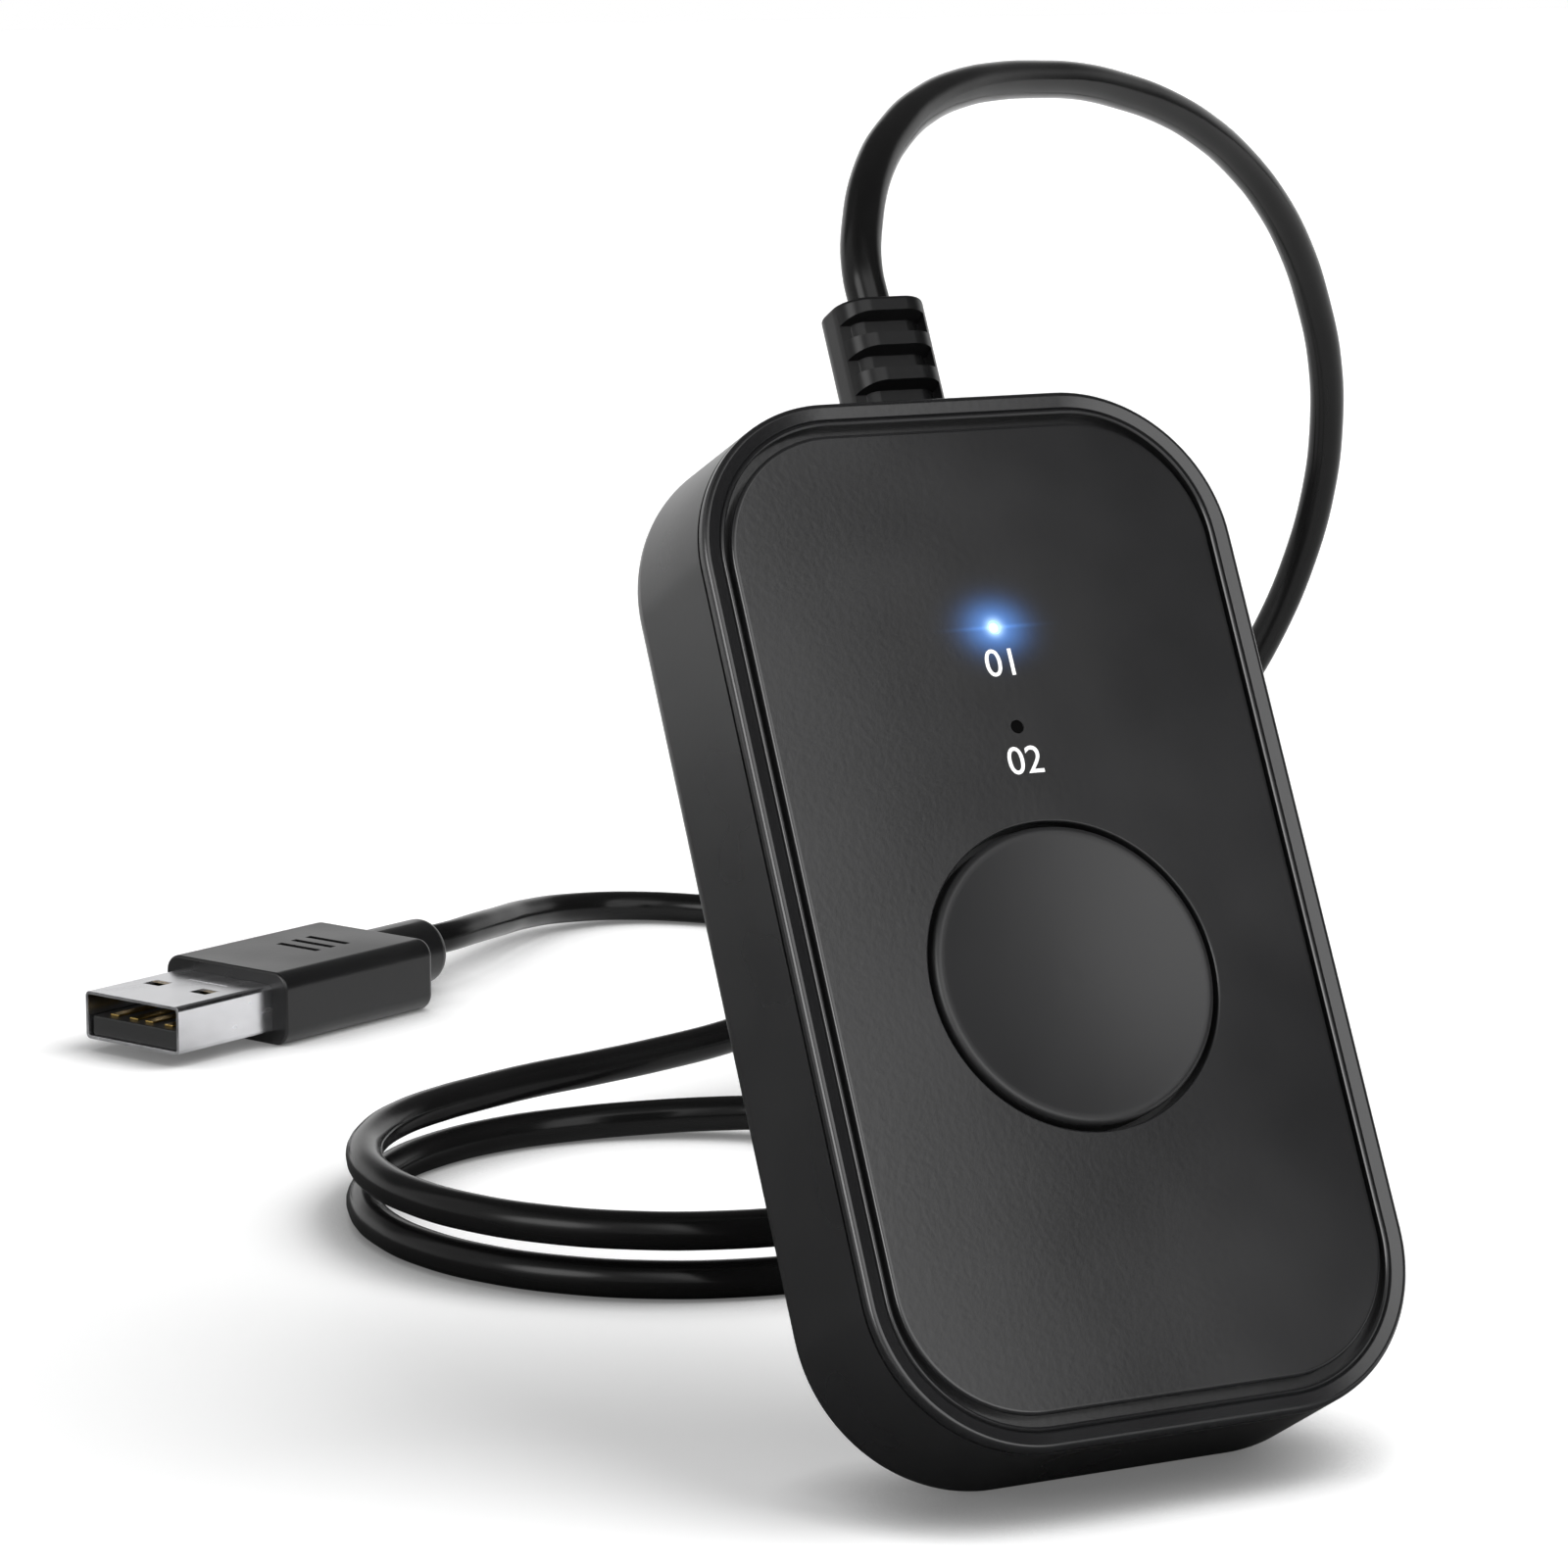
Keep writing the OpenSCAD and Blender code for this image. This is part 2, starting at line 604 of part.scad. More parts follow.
// A pan-head screw, its head's seat at z = 0 and its thread downwards
module screw(head, height, long) {
    difference() {
        union() {
            rotate_extrude() polygon([[0, -eps], [head / 2, -eps], [head / 2, height * 0.6],
                [head / 2 - height * 0.4, height], [0, height]]);
            translate([0, 0, -long]) cylinder(d = screw_d, h = long);
        }
        for (a = [0, 90]) rotate(a) translate([-head / 4, -0.25, height / 2]) cube([head / 2, 0.5, height]);
    }
}
module board_screws() {
    color("silver") in_case() at_posts() translate([0, 0, board_top])
        translate([0, 0, eps]) screw(board_head_d, board_head_h, board_screw_l);
}
module case_screws() {
    color("dimgray") in_case() at_feet() translate([0, 0, head_seat]) mirror([0, 0, 1])
        translate([0, 0, eps]) screw(head_d, head_h, case_screw_l);
}
// Round feet that cover the case screws
module rubber_feet() {
    edge = 0.2;
    color("#151515") in_case() at_feet() translate([0, 0, foot_recess - foot_t]) rotate_extrude()
        polygon([[0, 0], [foot_d / 2 - edge, 0], [foot_d / 2, edge], [foot_d / 2, foot_t], [0, foot_t]]);
}

// A rounded section of the strain relief between two heights up the face
module boot_section(w, t, r, y0, y1) {
    translate([0, y0, boot_z]) rotate([-90, 0, 0]) slab(w, t, r, 0, y1 - y0);
}
// Strain relief: ribbed outside, a neck in the wall and a flange that keeps it in
module strain_relief() {
    edge = 0.3;
    color("#1c1c1d") in_case() difference() {
        union() {
            difference() {
                translate([0, case_h - draft, boot_z]) rotate([-90, 0, 0])
                    block(boot_w, boot_t, boot_r, 0, boot_l + draft) polygon([[0, 0], [boot_r, 0],
                        [boot_r, boot_l + draft - edge], [boot_r - edge, boot_l + draft], [0, boot_l + draft]]);
                at_centre() block(case_w, case_h, corner_r, 0, case_t)
                    polygon([[0, 0], [corner_r, 0], [corner_r, back_edge_r], [wall_u(case_t), case_t],
                        [0, case_t]]);
                for (i = [0:slot_count - 1], s = [-1, 1])
                    translate([spine_w - boot_w / 2,
                        boot_top - boot_cap - slot_w - i * slot_pitch, boot_z + s * (boot_t / 2) - slot_depth])
                        cube([boot_w - 2 * spine_w, slot_w, 2 * slot_depth]);
            }
            boot_section(neck_w, neck_t, boot_r - 0.6, inner_flange_y1 - eps, case_h);
            boot_section(boot_w, boot_t, boot_r, inner_flange_y1 - inner_flange_t, inner_flange_y1);
        }
        translate([0, 0, boot_z]) rotate([-90, 0, 0]) cylinder(d = cord_d + 2 * fit, h = boot_top + 1);
    }
}
// Tie pulled tight round the cord behind the flange
module cable_tie() {
    band = 1;
    color("whitesmoke") in_case() translate([0, tie_y1 - tie_t, boot_z]) rotate([-90, 0, 0]) difference() {
        union() {
            cylinder(d = cord_d + 2 * band, h = tie_t);
            translate([cord_d / 2, -1.5, 0]) cube([3, 3, tie_t]);
        }
        translate([0, 0, -1]) cylinder(d = cord_d + 2 * fit, h = tie_t + 2);
    }
}
module cord_inner() {
    color("#161616") in_case() translate([0, cord_end_y, boot_z]) rotate([-90, 0, 0])
        cylinder(d = cord_d, h = boot_top - cord_end_y);
}

// Header on the board, the housing plugged on it, and the four wires from the cord
module wire_header() {
    color("ivory") in_case() translate([header_x - header_w / 2, header_y1 - header_l, board_top])
        cube([header_w, header_l, header_h]);
}
module wire_housing() {
    color("white") in_case() translate([header_x - header_w / 2, header_y1 - header_l, board_top + header_h])
        cube([header_w, header_l, housing_h]);
}
module wire(i) {
    wire_z = board_top + header_h + housing_h / 2;
    a = 135 + 90 * i;
    core_r = 0.8;
    from = [core_r * cos(a), cord_end_y, boot_z + core_r * sin(a)];
    to = [header_x + (i - (wire_count - 1) / 2) * wire_pitch, header_y1, wire_z];
    lead = [0, 0.8, 0];
    // The wires that go further lie further out, clear of each other
    fan = [0, wire_fan * (i - (wire_count - 1) / 2), 0];
    in_case() tube([from, from - lead, (2 * from + to) / 3 - lead / 2 + fan, (from + 2 * to) / 3 + fan,
        to + lead, to], wire_d, 6, [0, -1, 0], [0, -1, 0]);
}
module red_wire() {
    color("firebrick") wire(0);
}
module white_wire() {
    color("white") wire(1);
}
module green_wire() {
    color("green") wire(2);
}
module black_wire() {
    color("#101010") wire(3);
}

// Cord outside the case
module cord_riser() {
    color("#141414") tube(riser_route, cord_d, 8, unit(riser_route[1] - riser_route[0]), loop_dir(loop_start));
}
module cord_loops() {
    color("#141414") tube(loop_route, cord_d, loop_sides, loop_dir(loop_start), loop_dir(loop_end));
}
module cord_tail() {
    color("#141414") tube(tail_route, cord_d, 8, loop_dir(loop_end), [-cos(plug_turn), -sin(plug_turn), 0]);
}

// Plug: moulded grip with a nub, folded shell, tongue and four contacts
module plug_grip() {
    front_edge = 0.2;
    rear_r = 0.8;
    nub_r = nub_d / 2;
    nub_edge = 1.3;
    lines = 3;
    color("#202021") in_plug() difference() {
        union() {
            along_plug(grip_mid_z) block(grip_w, grip_t, grip_r, 0, grip_l) polygon(concat([[0, 0],
                [grip_r - front_edge, 0], [grip_r, front_edge]],
                arc(grip_r - rear_r, grip_l - rear_r, rear_r, 0, 90, 4), [[0, grip_l]]));
            along_plug(nub_z) rotate_extrude() polygon(concat([[0, grip_l - 2], [nub_r, grip_l - 2]],
                arc(nub_r - nub_edge, grip_l + nub_l - nub_edge, nub_edge, 0, 90, 5),
                [[0, grip_l + nub_l]]));
        }
        along_plug(grip_mid_z) slab(shell_w + 2 * eps, shell_t + 2 * eps, 0.5, -1, shell_in);
        // Finger lines moulded across the top
        for (i = [0:lines - 1]) translate([9.5 + 2 * i, -2.6, grip_t - 0.3]) cube([0.8, 5.2, 1]);
    }
}
module plug_shell() {
    outer_r = 0.5;
    hole = [1.8, 2];
    hole_x = -5.9;
    hole_y = 3;
    color("gainsboro") in_plug() difference() {
        along_plug(grip_mid_z) around(shell_w, shell_t, outer_r)
            translate([outer_r - sheet, -shell_l]) square([sheet, shell_l + shell_in]);
        for (y = [-hole_y, hole_y])
            translate([hole_x - hole[0] / 2, y - hole[1] / 2, -1]) cube([hole[0], hole[1], grip_t + 2]);
    }
}
module plug_tongue() {
    set_back = 0.4;
    side_gap = 0.2;
    color("#161616") in_plug()
        translate([-shell_l + set_back, -shell_w / 2 + sheet + side_gap, grip_mid_z - shell_t / 2 + sheet + eps])
            cube([shell_l - set_back + shell_in, shell_w - 2 * sheet - 2 * side_gap, tongue_t]);
}
module plug_contacts() {
    set_back = 1.2;
    strip = 0.2;
    color("gold") in_plug() for (y = contact_ys)
        translate([-shell_l + set_back, y - contact_w / 2,
            grip_mid_z - shell_t / 2 + sheet + 2 * eps + tongue_t])
            cube([shell_l - set_back + shell_in, contact_w, strip]);
}

echo(cord_length = length_of(riser_route) + length_of(loop_route) + length_of(tail_route));
echo(least_gap_of_loops = self_gap(loop_route, cord_d, loop_steps / 3));

back_shell();
front_frame();
front_panel();
button_cap();
switch_base();
switch_cover();
switch_dome();
switch_plunger();
circuit_board();
controller_chip();
board_parts();
upper_lamp();
lower_lamp();
upper_light_pipe();
lower_light_pipe();
board_screws();
case_screws();
rubber_feet();
strain_relief();
cable_tie();
cord_inner();
wire_header();
wire_housing();
red_wire();
white_wire();
green_wire();
black_wire();
cord_riser();
cord_loops();
cord_tail();
plug_grip();
plug_shell();
plug_tongue();
plug_contacts();
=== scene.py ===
"""Desk mouse jiggler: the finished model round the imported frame, with its stage and camera."""

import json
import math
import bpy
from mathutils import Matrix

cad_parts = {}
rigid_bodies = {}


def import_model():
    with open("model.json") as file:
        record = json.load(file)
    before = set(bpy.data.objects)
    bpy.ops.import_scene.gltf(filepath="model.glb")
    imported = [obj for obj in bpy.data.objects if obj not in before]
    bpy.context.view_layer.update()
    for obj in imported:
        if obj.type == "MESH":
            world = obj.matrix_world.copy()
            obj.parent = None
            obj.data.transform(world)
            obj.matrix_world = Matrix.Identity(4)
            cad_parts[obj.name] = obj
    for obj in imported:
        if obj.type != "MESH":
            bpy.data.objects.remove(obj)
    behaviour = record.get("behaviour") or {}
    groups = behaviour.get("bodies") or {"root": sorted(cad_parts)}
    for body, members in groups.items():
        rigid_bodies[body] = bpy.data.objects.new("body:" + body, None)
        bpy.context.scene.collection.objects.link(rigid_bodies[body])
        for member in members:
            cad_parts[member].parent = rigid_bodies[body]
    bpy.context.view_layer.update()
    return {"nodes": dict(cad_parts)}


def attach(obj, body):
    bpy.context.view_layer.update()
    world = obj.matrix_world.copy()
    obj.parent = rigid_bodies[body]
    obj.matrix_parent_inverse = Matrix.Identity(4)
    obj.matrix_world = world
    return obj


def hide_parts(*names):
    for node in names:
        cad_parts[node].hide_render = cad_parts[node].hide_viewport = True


bl_info = {
    "name": "Desk mouse jiggler",
    "version": (1, 0, 0),
    "blender": (4, 5, 0),
    "location": "View3D > Sidebar > Jiggler",
    "description": "Builds the push-button box, its captive cord and plug, and the stage",
    "category": "Object",
}

import bmesh
import bpy
from mathutils import Matrix, Vector

for left_over in list(bpy.data.objects):
    bpy.data.objects.remove(left_over)
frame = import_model()

# Pieces are drawn in millimetres in their own frame, and scaled to metres when they are placed.
MM = 0.001

# Case frame: x across, y up the face, z from the back to the face
LEAN = math.radians(27.7)
STAND_Y = 12.7608
STAND_Z = -0.8756
CASE_W = 42.5
CASE_H = 75.3
CASE_T = 12.8
CORNER_R = 12.0
DRAFT = 0.55
BACK_R = 2.5
EDGE_R = 0.45
WALL = 1.8
BACK_WALL = 1.6
SPLIT_Z = 11.9
SEAM = 0.12
SEAM_IN = 0.35
PANEL_T = 1.0
PANEL_Z = CASE_T - PANEL_T
PANEL_W = 37.4
PANEL_H = 69.4
PANEL_R = 9.3
FLOOR_T = 1.0
FLOOR_Z = PANEL_Z - FLOOR_T
BUTTON_D = 21.2
BUTTON_GAP = 0.4
BUTTON_Y = 32.3
BUTTON_AT = (0, BUTTON_Y)
BUTTON_TOP = CASE_T + 0.3
LAMP_YS = (57.5, 50.2)
WINDOW_D = 1.0
FOOT_X = 15.2
FOOT_YS = (11.0, 64.3)
FOOT_D = 8.0
FOOT_T = 1.2
FOOT_RECESS = 0.4
CORNERS = [(x, y) for x in (-FOOT_X, FOOT_X) for y in FOOT_YS]
BOSS_D = 5.0
BOSS_SPLIT = 7.0

# Strain relief
BOOT_W = 7.15
BOOT_T = 5.6
BOOT_L = 9.0
BOOT_R = 2.2
BOOT_Z = 5.9
BOOT_TOP = CASE_H + BOOT_L
SLOT_PITCH = 2.66
SLOT_W = 1.3
SLOT_DEPTH = 1.2
SLOT_IN = 1.2
SPINE = 1.35

# Cord and its loops on the desk
CORD_D = 3.0
LOOP_CENTRE = (3.5, 60.8)
LOOP_R = 25.7
LOOP_START = 115.0
LOOP_END = 660.0
LOOP_STEPS = 36
UPPER_Z = 5.35
LOWER_Z = 1.5
DROP_START = 305.0
DROP_END = 450.0

# Plug
PLUG_PLACE = (-7.1, 137.75)
PLUG_TURN = math.radians(25.25)
SHELL_W = 12.0
SHELL_T = 4.5
SHELL_L = 12.3
SHELL_IN = 6.5
SHEET = 0.3
GRIP_W = 15.6
GRIP_T = 6.9
GRIP_L = 20.4
GRIP_R = 1.6
GRIP_MID = GRIP_T / 2
NUB_D = 6.4
NUB_L = 7.6
NUB_Z = GRIP_T - NUB_D / 2 - 0.05
EXIT_Z = NUB_Z + 0.8
TONGUE_T = 1.84
CONTACT_YS = (-3.5, -1.0, 1.0, 3.5)

RISER = (
    (1.6, 25.7, 82.5), (4.7, 29.9, 86), (9.1, 34.6, 88.6), (14, 39.3, 90.2), (19.3, 43.7, 91.1),
    (24.9, 47.9, 91.4), (30.7, 51.8, 91.3), (36.6, 55.5, 90.9), (42.5, 59, 89.9),
    (48.5, 62.3, 88.4), (54.3, 65.5, 86.2), (59.8, 68.7, 83.3), (64.9, 71.7, 79.6),
    (69.4, 74.7, 75.2), (73.2, 77.7, 70.2), (76.3, 80.5, 64.7), (78.4, 83.3, 58.7),
    (79.4, 86, 52.3), (79.1, 88.5, 45.8), (77.6, 90.8, 39.4), (74.9, 92.8, 33.3),
    (71.3, 94.6, 27.6), (66.7, 96.1, 22.6), (61.2, 97.3, 18.4), (55.2, 98.1, 15.1),
    (48.8, 98.1, 12.4), (42.2, 97.2, 10.2), (35.7, 95.5, 8.5), (29.1, 93.6, 7.2),
    (22.4, 91.8, 6.3), (15.6, 90.5, 5.8), (8.7, 89.3, 5.5), (1.9, 87.8, 5.4),
)
TAIL = (
    (25.3, 44.1, 1.5), (31.1, 49, 1.5), (36.4, 54.5, 1.5), (41.2, 60.4, 1.5), (45.5, 66.6, 1.5),
    (49.5, 73.1, 1.5), (53.2, 79.6, 1.5), (56.7, 86.4, 1.5), (59.8, 93.3, 1.5),
    (62.5, 100.4, 1.5), (64.8, 107.7, 1.5), (66.4, 115.1, 1.5), (67.4, 122.6, 1.5),
    (67.7, 130.2, 1.5), (67.1, 137.7, 1.5), (65.6, 145.2, 1.5), (63.1, 152.3, 1.5),
    (59.8, 159.2, 1.5), (55.3, 165.2, 1.5), (48.9, 169.1, 1.7), (41.5, 168.6, 2.2),
    (35.2, 164.6, 2.9), (29.8, 159.2, 3.6), (24.9, 154.3, 4.2),
)

CASE_FRAME = (
    Matrix.Translation((0, -STAND_Y * MM, STAND_Z * MM))
    @ Matrix.Rotation(math.radians(90) - LEAN, 4, "X")
    @ Matrix.Scale(MM, 4)
)
# Turns what is drawn along Z to run up the case at the strain relief
UP_THE_CASE = Matrix.Translation((0, 0, BOOT_Z)) @ Matrix.Rotation(math.radians(-90), 4, "X")
PLUG_FRAME = (
    Matrix.Translation((PLUG_PLACE[0] * MM, PLUG_PLACE[1] * MM, 0))
    @ Matrix.Rotation(PLUG_TURN, 4, "Z")
    @ Matrix.Scale(MM, 4)
)
# Turns what is drawn along Z to lie along the plug's axis
ALONG_PLUG = Matrix.Rotation(math.radians(90), 4, "Z") @ Matrix.Rotation(math.radians(90), 4, "X")

# Camera and stage, in metres
CAMERA_AT = (-0.17067, -0.30635, 0.10785)
CAMERA_TILT = math.radians(79.891)
CAMERA_TURN = math.radians(-26.551)
LENS = 118.13
SENSOR = 36
FLOOR_SIZE = 6
# Painted reflected shade: in reflections only, the desk is dark at the left of the case and behind
# it
REFLECTED_SHADE_AT = (-0.1, 0.12, 0)
REFLECTED_SHADE_TURN = math.radians(26.5)
REFLECTED_SHADE_SIZE = (0.066, 0.205, 1)
# How near a thing must stand to the floor to darken it with a painted contact shadow
PAINTED_SHADOW_REACH = 0.007
SUN_FROM = Vector((0.55, -0.35, 0.76))
SUN_STRENGTH = 3.6
SUN_ANGLE = math.radians(50)

# The middle of a noise's range, which is spread over a finish's own range
NOISE_LOW = 0.3
NOISE_HIGH = 0.7


# Shaping

def select_none():
    """Leaves edit mode and selects nothing."""
    if bpy.context.object is not None and bpy.context.object.mode != "OBJECT":
        bpy.ops.object.mode_set(mode="OBJECT")
    bpy.ops.object.select_all(action="DESELECT")


def only(obj):
    """Makes one object the only one selected, and the active one."""
    select_none()
    obj.select_set(True)
    bpy.context.view_layer.objects.active = obj


def edit(obj):
    """Opens one object in edit mode with nothing selected."""
    only(obj)
    bpy.ops.object.mode_set(mode="EDIT")
    bpy.ops.mesh.select_all(action="DESELECT")


def pick(obj, kind, test):
    """Selects the faces or edges, of a mesh in edit mode, that pass a test."""
    bpy.ops.mesh.select_mode(type=kind)
    bpy.ops.mesh.select_all(action="DESELECT")
    shape = bmesh.from_edit_mesh(obj.data)
    for element in shape.faces if kind == "FACE" else shape.edges:
        if test(element):
            element.select_set(True)
    bmesh.update_edit_mesh(obj.data)


def pick_end(obj, up):
    """Selects the flat face at the top (up = 1) or at the foot (up = -1)."""
    shape = bmesh.from_edit_mesh(obj.data)
    ends = [f for f in shape.faces if f.normal.z * up > 0.999]
    top = max(f.calc_center_median().z * up for f in ends)
    pick(
        obj, "FACE",
        lambda f: f.normal.z * up > 0.999 and f.calc_center_median().z * up > top - 1e-4,
    )


def steps_on(obj, up, steps):
    """Carries an end face on through steps of (inwards, outwards), as insets with a depth."""
    edit(obj)
    pick_end(obj, up)
    for inward, onward in steps:
        if inward:
            bpy.ops.mesh.inset(thickness=inward, depth=onward, use_even_offset=True)
        else:
            bpy.ops.mesh.extrude_region_move(TRANSFORM_OT_translate={"value": (0, 0, up * onward)})
    bpy.ops.object.mode_set(mode="OBJECT")


def round_over(radius, count, start=0.0, end=90.0):
    """Steps that round an edge over, from the side to the top."""
    a = [math.radians(start + (end - start) * i / count) for i in range(count + 1)]
    return [
        (radius * (math.cos(p) - math.cos(q)), radius * (math.sin(q) - math.sin(p)))
        for p, q in zip(a, a[1:])
    ]


def block(name, w, h, r, z0, z1, segments=24, centre=(0.0, 0.0)):
    """A box with rounded corners seen from above."""
    select_none()
    bpy.ops.mesh.primitive_cube_add(
        size=1, location=(centre[0], centre[1], (z0 + z1) / 2), scale=(w, h, z1 - z0)
    )
    obj = bpy.context.object
    obj.name = name
    bpy.ops.object.transform_apply(location=True, rotation=False, scale=True)
    edit(obj)
    pick(obj, "EDGE", lambda e: abs(e.verts[0].co.z - e.verts[1].co.z) > 1e-4)
    bpy.ops.mesh.bevel(offset=r, segments=segments, affect="EDGES")
    bpy.ops.object.mode_set(mode="OBJECT")
    return obj


def drum(name, r, z0, z1, sides=96, centre=(0.0, 0.0)):
    """A round block."""
    select_none()
    bpy.ops.mesh.primitive_cylinder_add(
        vertices=sides, radius=r, depth=z1 - z0, location=(centre[0], centre[1], (z0 + z1) / 2)
    )
    obj = bpy.context.object
    obj.name = name
    bpy.ops.object.transform_apply(location=True, rotation=False, scale=False)
    return obj


def box(name, low, high):
    """A square-cornered block between two corners, for cutting with or to be bevelled."""
    select_none()
    bpy.ops.mesh.primitive_cube_add(
        size=1,
        location=[(a + b) / 2 for a, b in zip(low, high)],
        scale=[b - a for a, b in zip(low, high)],
    )
    obj = bpy.context.object
    obj.name = name
    bpy.ops.object.transform_apply(location=True, rotation=False, scale=True)
    return obj


def modify(obj, kind, **values):
    """Adds a modifier and applies it."""
    only(obj)
    bpy.ops.object.modifier_add(type=kind)
    modifier = obj.modifiers[-1]
    for name, value in values.items():
        setattr(modifier, name, value)
    bpy.ops.object.modifier_apply(modifier=modifier.name)


def combine(obj, tools, operation="DIFFERENCE"):
    """Cuts the tools from a piece, or welds them on."""
    for tool in tools:
        modify(obj, "BOOLEAN", operation=operation, solver="EXACT", object=tool)
        bpy.data.objects.remove(tool)


def turn(obj, matrix):
    """Turns or moves a piece's own drawing."""
    only(obj)
    obj.matrix_world = matrix
    bpy.ops.object.transform_apply(location=True, rotation=True, scale=True)


def join(name, pieces):
    """Makes one object of several."""
    select_none()
    for piece in pieces:
        piece.select_set(True)
    bpy.context.view_layer.objects.active = pieces[0]
    if len(pieces) > 1:
        bpy.ops.object.join()
    pieces[0].name = name
    return pieces[0]


def soften(obj, width, segments=2, angle=40):
    """Rounds all sharp edges a little."""
    modify(
        obj, "BEVEL", width=width, segments=segments, limit_method="ANGLE",
        angle_limit=math.radians(angle), harden_normals=False, use_clamp_overlap=True,
    )


def finish(obj, place, material, nodes=(), body="root", angle=32):
    """Cleans a mesh, shades it, puts it in its place and hands it to the frame."""
    edit(obj)
    bpy.ops.mesh.select_all(action="SELECT")
    bpy.ops.mesh.remove_doubles(threshold=1e-5)
    bpy.ops.mesh.normals_make_consistent(inside=False)
    bpy.ops.object.mode_set(mode="OBJECT")
    bpy.ops.object.shade_smooth_by_angle(angle=math.radians(angle))
    modify(obj, "WEIGHTED_NORMAL", keep_sharp=True, weight=80)
    turn(obj, place)
    obj.data.materials.clear()
    obj.data.materials.append(material)
    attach(obj, body)
    if nodes:
        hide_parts(*nodes)
    return obj


# Finishes

def new_material(name):
    """A material with an empty Principled shader, and its tools."""
    material = bpy.data.materials.new(name)
    material.use_nodes = True
    nodes, links = material.node_tree.nodes, material.node_tree.links
    return material, nodes, links, nodes["Principled BSDF"]


def maths(nodes, links, operation, *values):
    """A Math node of numbers and of other nodes' outputs."""
    node = nodes.new("ShaderNodeMath")
    node.operation = operation
    for socket, value in zip(node.inputs, values):
        if isinstance(value, (int, float)):
            socket.default_value = value
        else:
            links.new(value, socket)
    return node.outputs[0]


def smooth_step(nodes, links, value, low, high, to_low, to_high):
    """Carries a value over from one level to another between two limits."""
    step = nodes.new("ShaderNodeMapRange")
    step.interpolation_type = "SMOOTHSTEP"
    for socket, number in zip(list(step.inputs)[1:5], (low, high, to_low, to_high)):
        socket.default_value = number
    links.new(value, step.inputs["Value"])
    return step.outputs["Result"]


def either(nodes, links, switch, off, on):
    """One of two values, by a switch."""
    node = nodes.new("ShaderNodeMix")
    node.data_type = "FLOAT"
    links.new(switch, node.inputs[0])
    for socket, value in ((node.inputs[2], off), (node.inputs[3], on)):
        if isinstance(value, (int, float)):
            socket.default_value = value
        else:
            links.new(value, socket)
    return node.outputs[0]


def grain(nodes, links, scale, name, detail=2.0, stretch=None):
    """Noise on the piece's own coordinates, in cycles a millimetre."""
    coords = nodes.new("ShaderNodeTexCoord")
    source = coords.outputs["Object"]
    if stretch:
        mapping = nodes.new("ShaderNodeMapping")
        mapping.inputs["Scale"].default_value = stretch
        links.new(source, mapping.inputs["Vector"])
        source = mapping.outputs["Vector"]
    noise = nodes.new("ShaderNodeTexNoise")
    noise.name = noise.label = name
    noise.inputs["Scale"].default_value = scale / MM
    noise.inputs["Detail"].default_value = detail
    noise.inputs["Roughness"].default_value = 0.55
    links.new(source, noise.inputs["Vector"])
    return noise.outputs["Fac"]


def to_range(nodes, links, value, low, high, name):
    """Spreads a noise over a range."""
    spread = nodes.new("ShaderNodeMapRange")
    spread.name = spread.label = name
    spread.inputs["From Min"].default_value = NOISE_LOW
    spread.inputs["From Max"].default_value = NOISE_HIGH
    spread.inputs["To Min"].default_value = low
    spread.inputs["To Max"].default_value = high
    links.new(value, spread.inputs["Value"])
    return spread.outputs["Result"]


def tinted(nodes, links, value, low, high, name):
    """Two colours blended by a noise."""
    ramp = nodes.new("ShaderNodeValToRGB")
    ramp.name = ramp.label = name
    for stop, place, colour in zip(ramp.color_ramp.elements, (NOISE_LOW, NOISE_HIGH), (low, high)):
        stop.position = place
        stop.color = (*colour, 1)
    links.new(value, ramp.inputs["Fac"])
    return ramp.outputs["Color"]


def bumped(nodes, links, shader, value, height, name):
    """Relief of a height in millimetres."""
    bump = nodes.new("ShaderNodeBump")
    bump.name = bump.label = name
    bump.inputs["Strength"].default_value = 1.0
    bump.inputs["Distance"].default_value = height * MM
    links.new(value, bump.inputs["Height"])
    links.new(bump.outputs["Normal"], shader.inputs["Normal"])


def moulded(
    name, colour, roughness, spread=0.05, texture=2.0, height=0.003, specular=0.5, vary=0.12
):
    """Moulded plastic: a fine eroded grain, slightly uneven gloss and colour."""
    material, nodes, links, shader = new_material(name)
    fine = grain(nodes, links, texture, "Mould grain", detail=1.0)
    broad = grain(nodes, links, 0.06, "Handling")
    darker = [c * (1 - vary) for c in colour]
    lighter = [c * (1 + vary) for c in colour]
    links.new(
        tinted(nodes, links, broad, darker, lighter, "Colour"), shader.inputs["Base Color"]
    )
    links.new(
        to_range(nodes, links, broad, roughness - spread, roughness + spread, "Gloss"),
        shader.inputs["Roughness"],
    )
    shader.inputs["Specular IOR Level"].default_value = specular
    bumped(nodes, links, shader, fine, height, "Grain relief")
    return material


def plated(name, colour, roughness, stretch=(1, 1, 1)):
    """Plated or brushed metal with fine drawing lines."""
    material, nodes, links, shader = new_material(name)
    lines = grain(nodes, links, 0.5, "Drawing lines", stretch=stretch)
    darker = [c * 0.9 for c in colour]
    lighter = [min(1, c * 1.05) for c in colour]
    links.new(
        tinted(nodes, links, lines, darker, lighter, "Colour"), shader.inputs["Base Color"]
    )
    links.new(
        to_range(nodes, links, lines, roughness * 0.85, roughness * 1.15, "Gloss"),
        shader.inputs["Roughness"],
    )
    shader.inputs["Metallic"].default_value = 1
    bumped(nodes, links, shader, lines, 0.0004, "Line relief")
    return material


class Finishes:
    """The materials, each made once."""

    made = {}

    @classmethod
    def get(cls, name):
        """The finish of a slot."""
        if name not in cls.made:
            cls.made[name] = FINISHES[name]()
        return cls.made[name]


def chosen(name):
    """A colour that the user can change, without its alpha."""
    return list(getattr(bpy.context.scene.jiggler_colours, name))[:3]


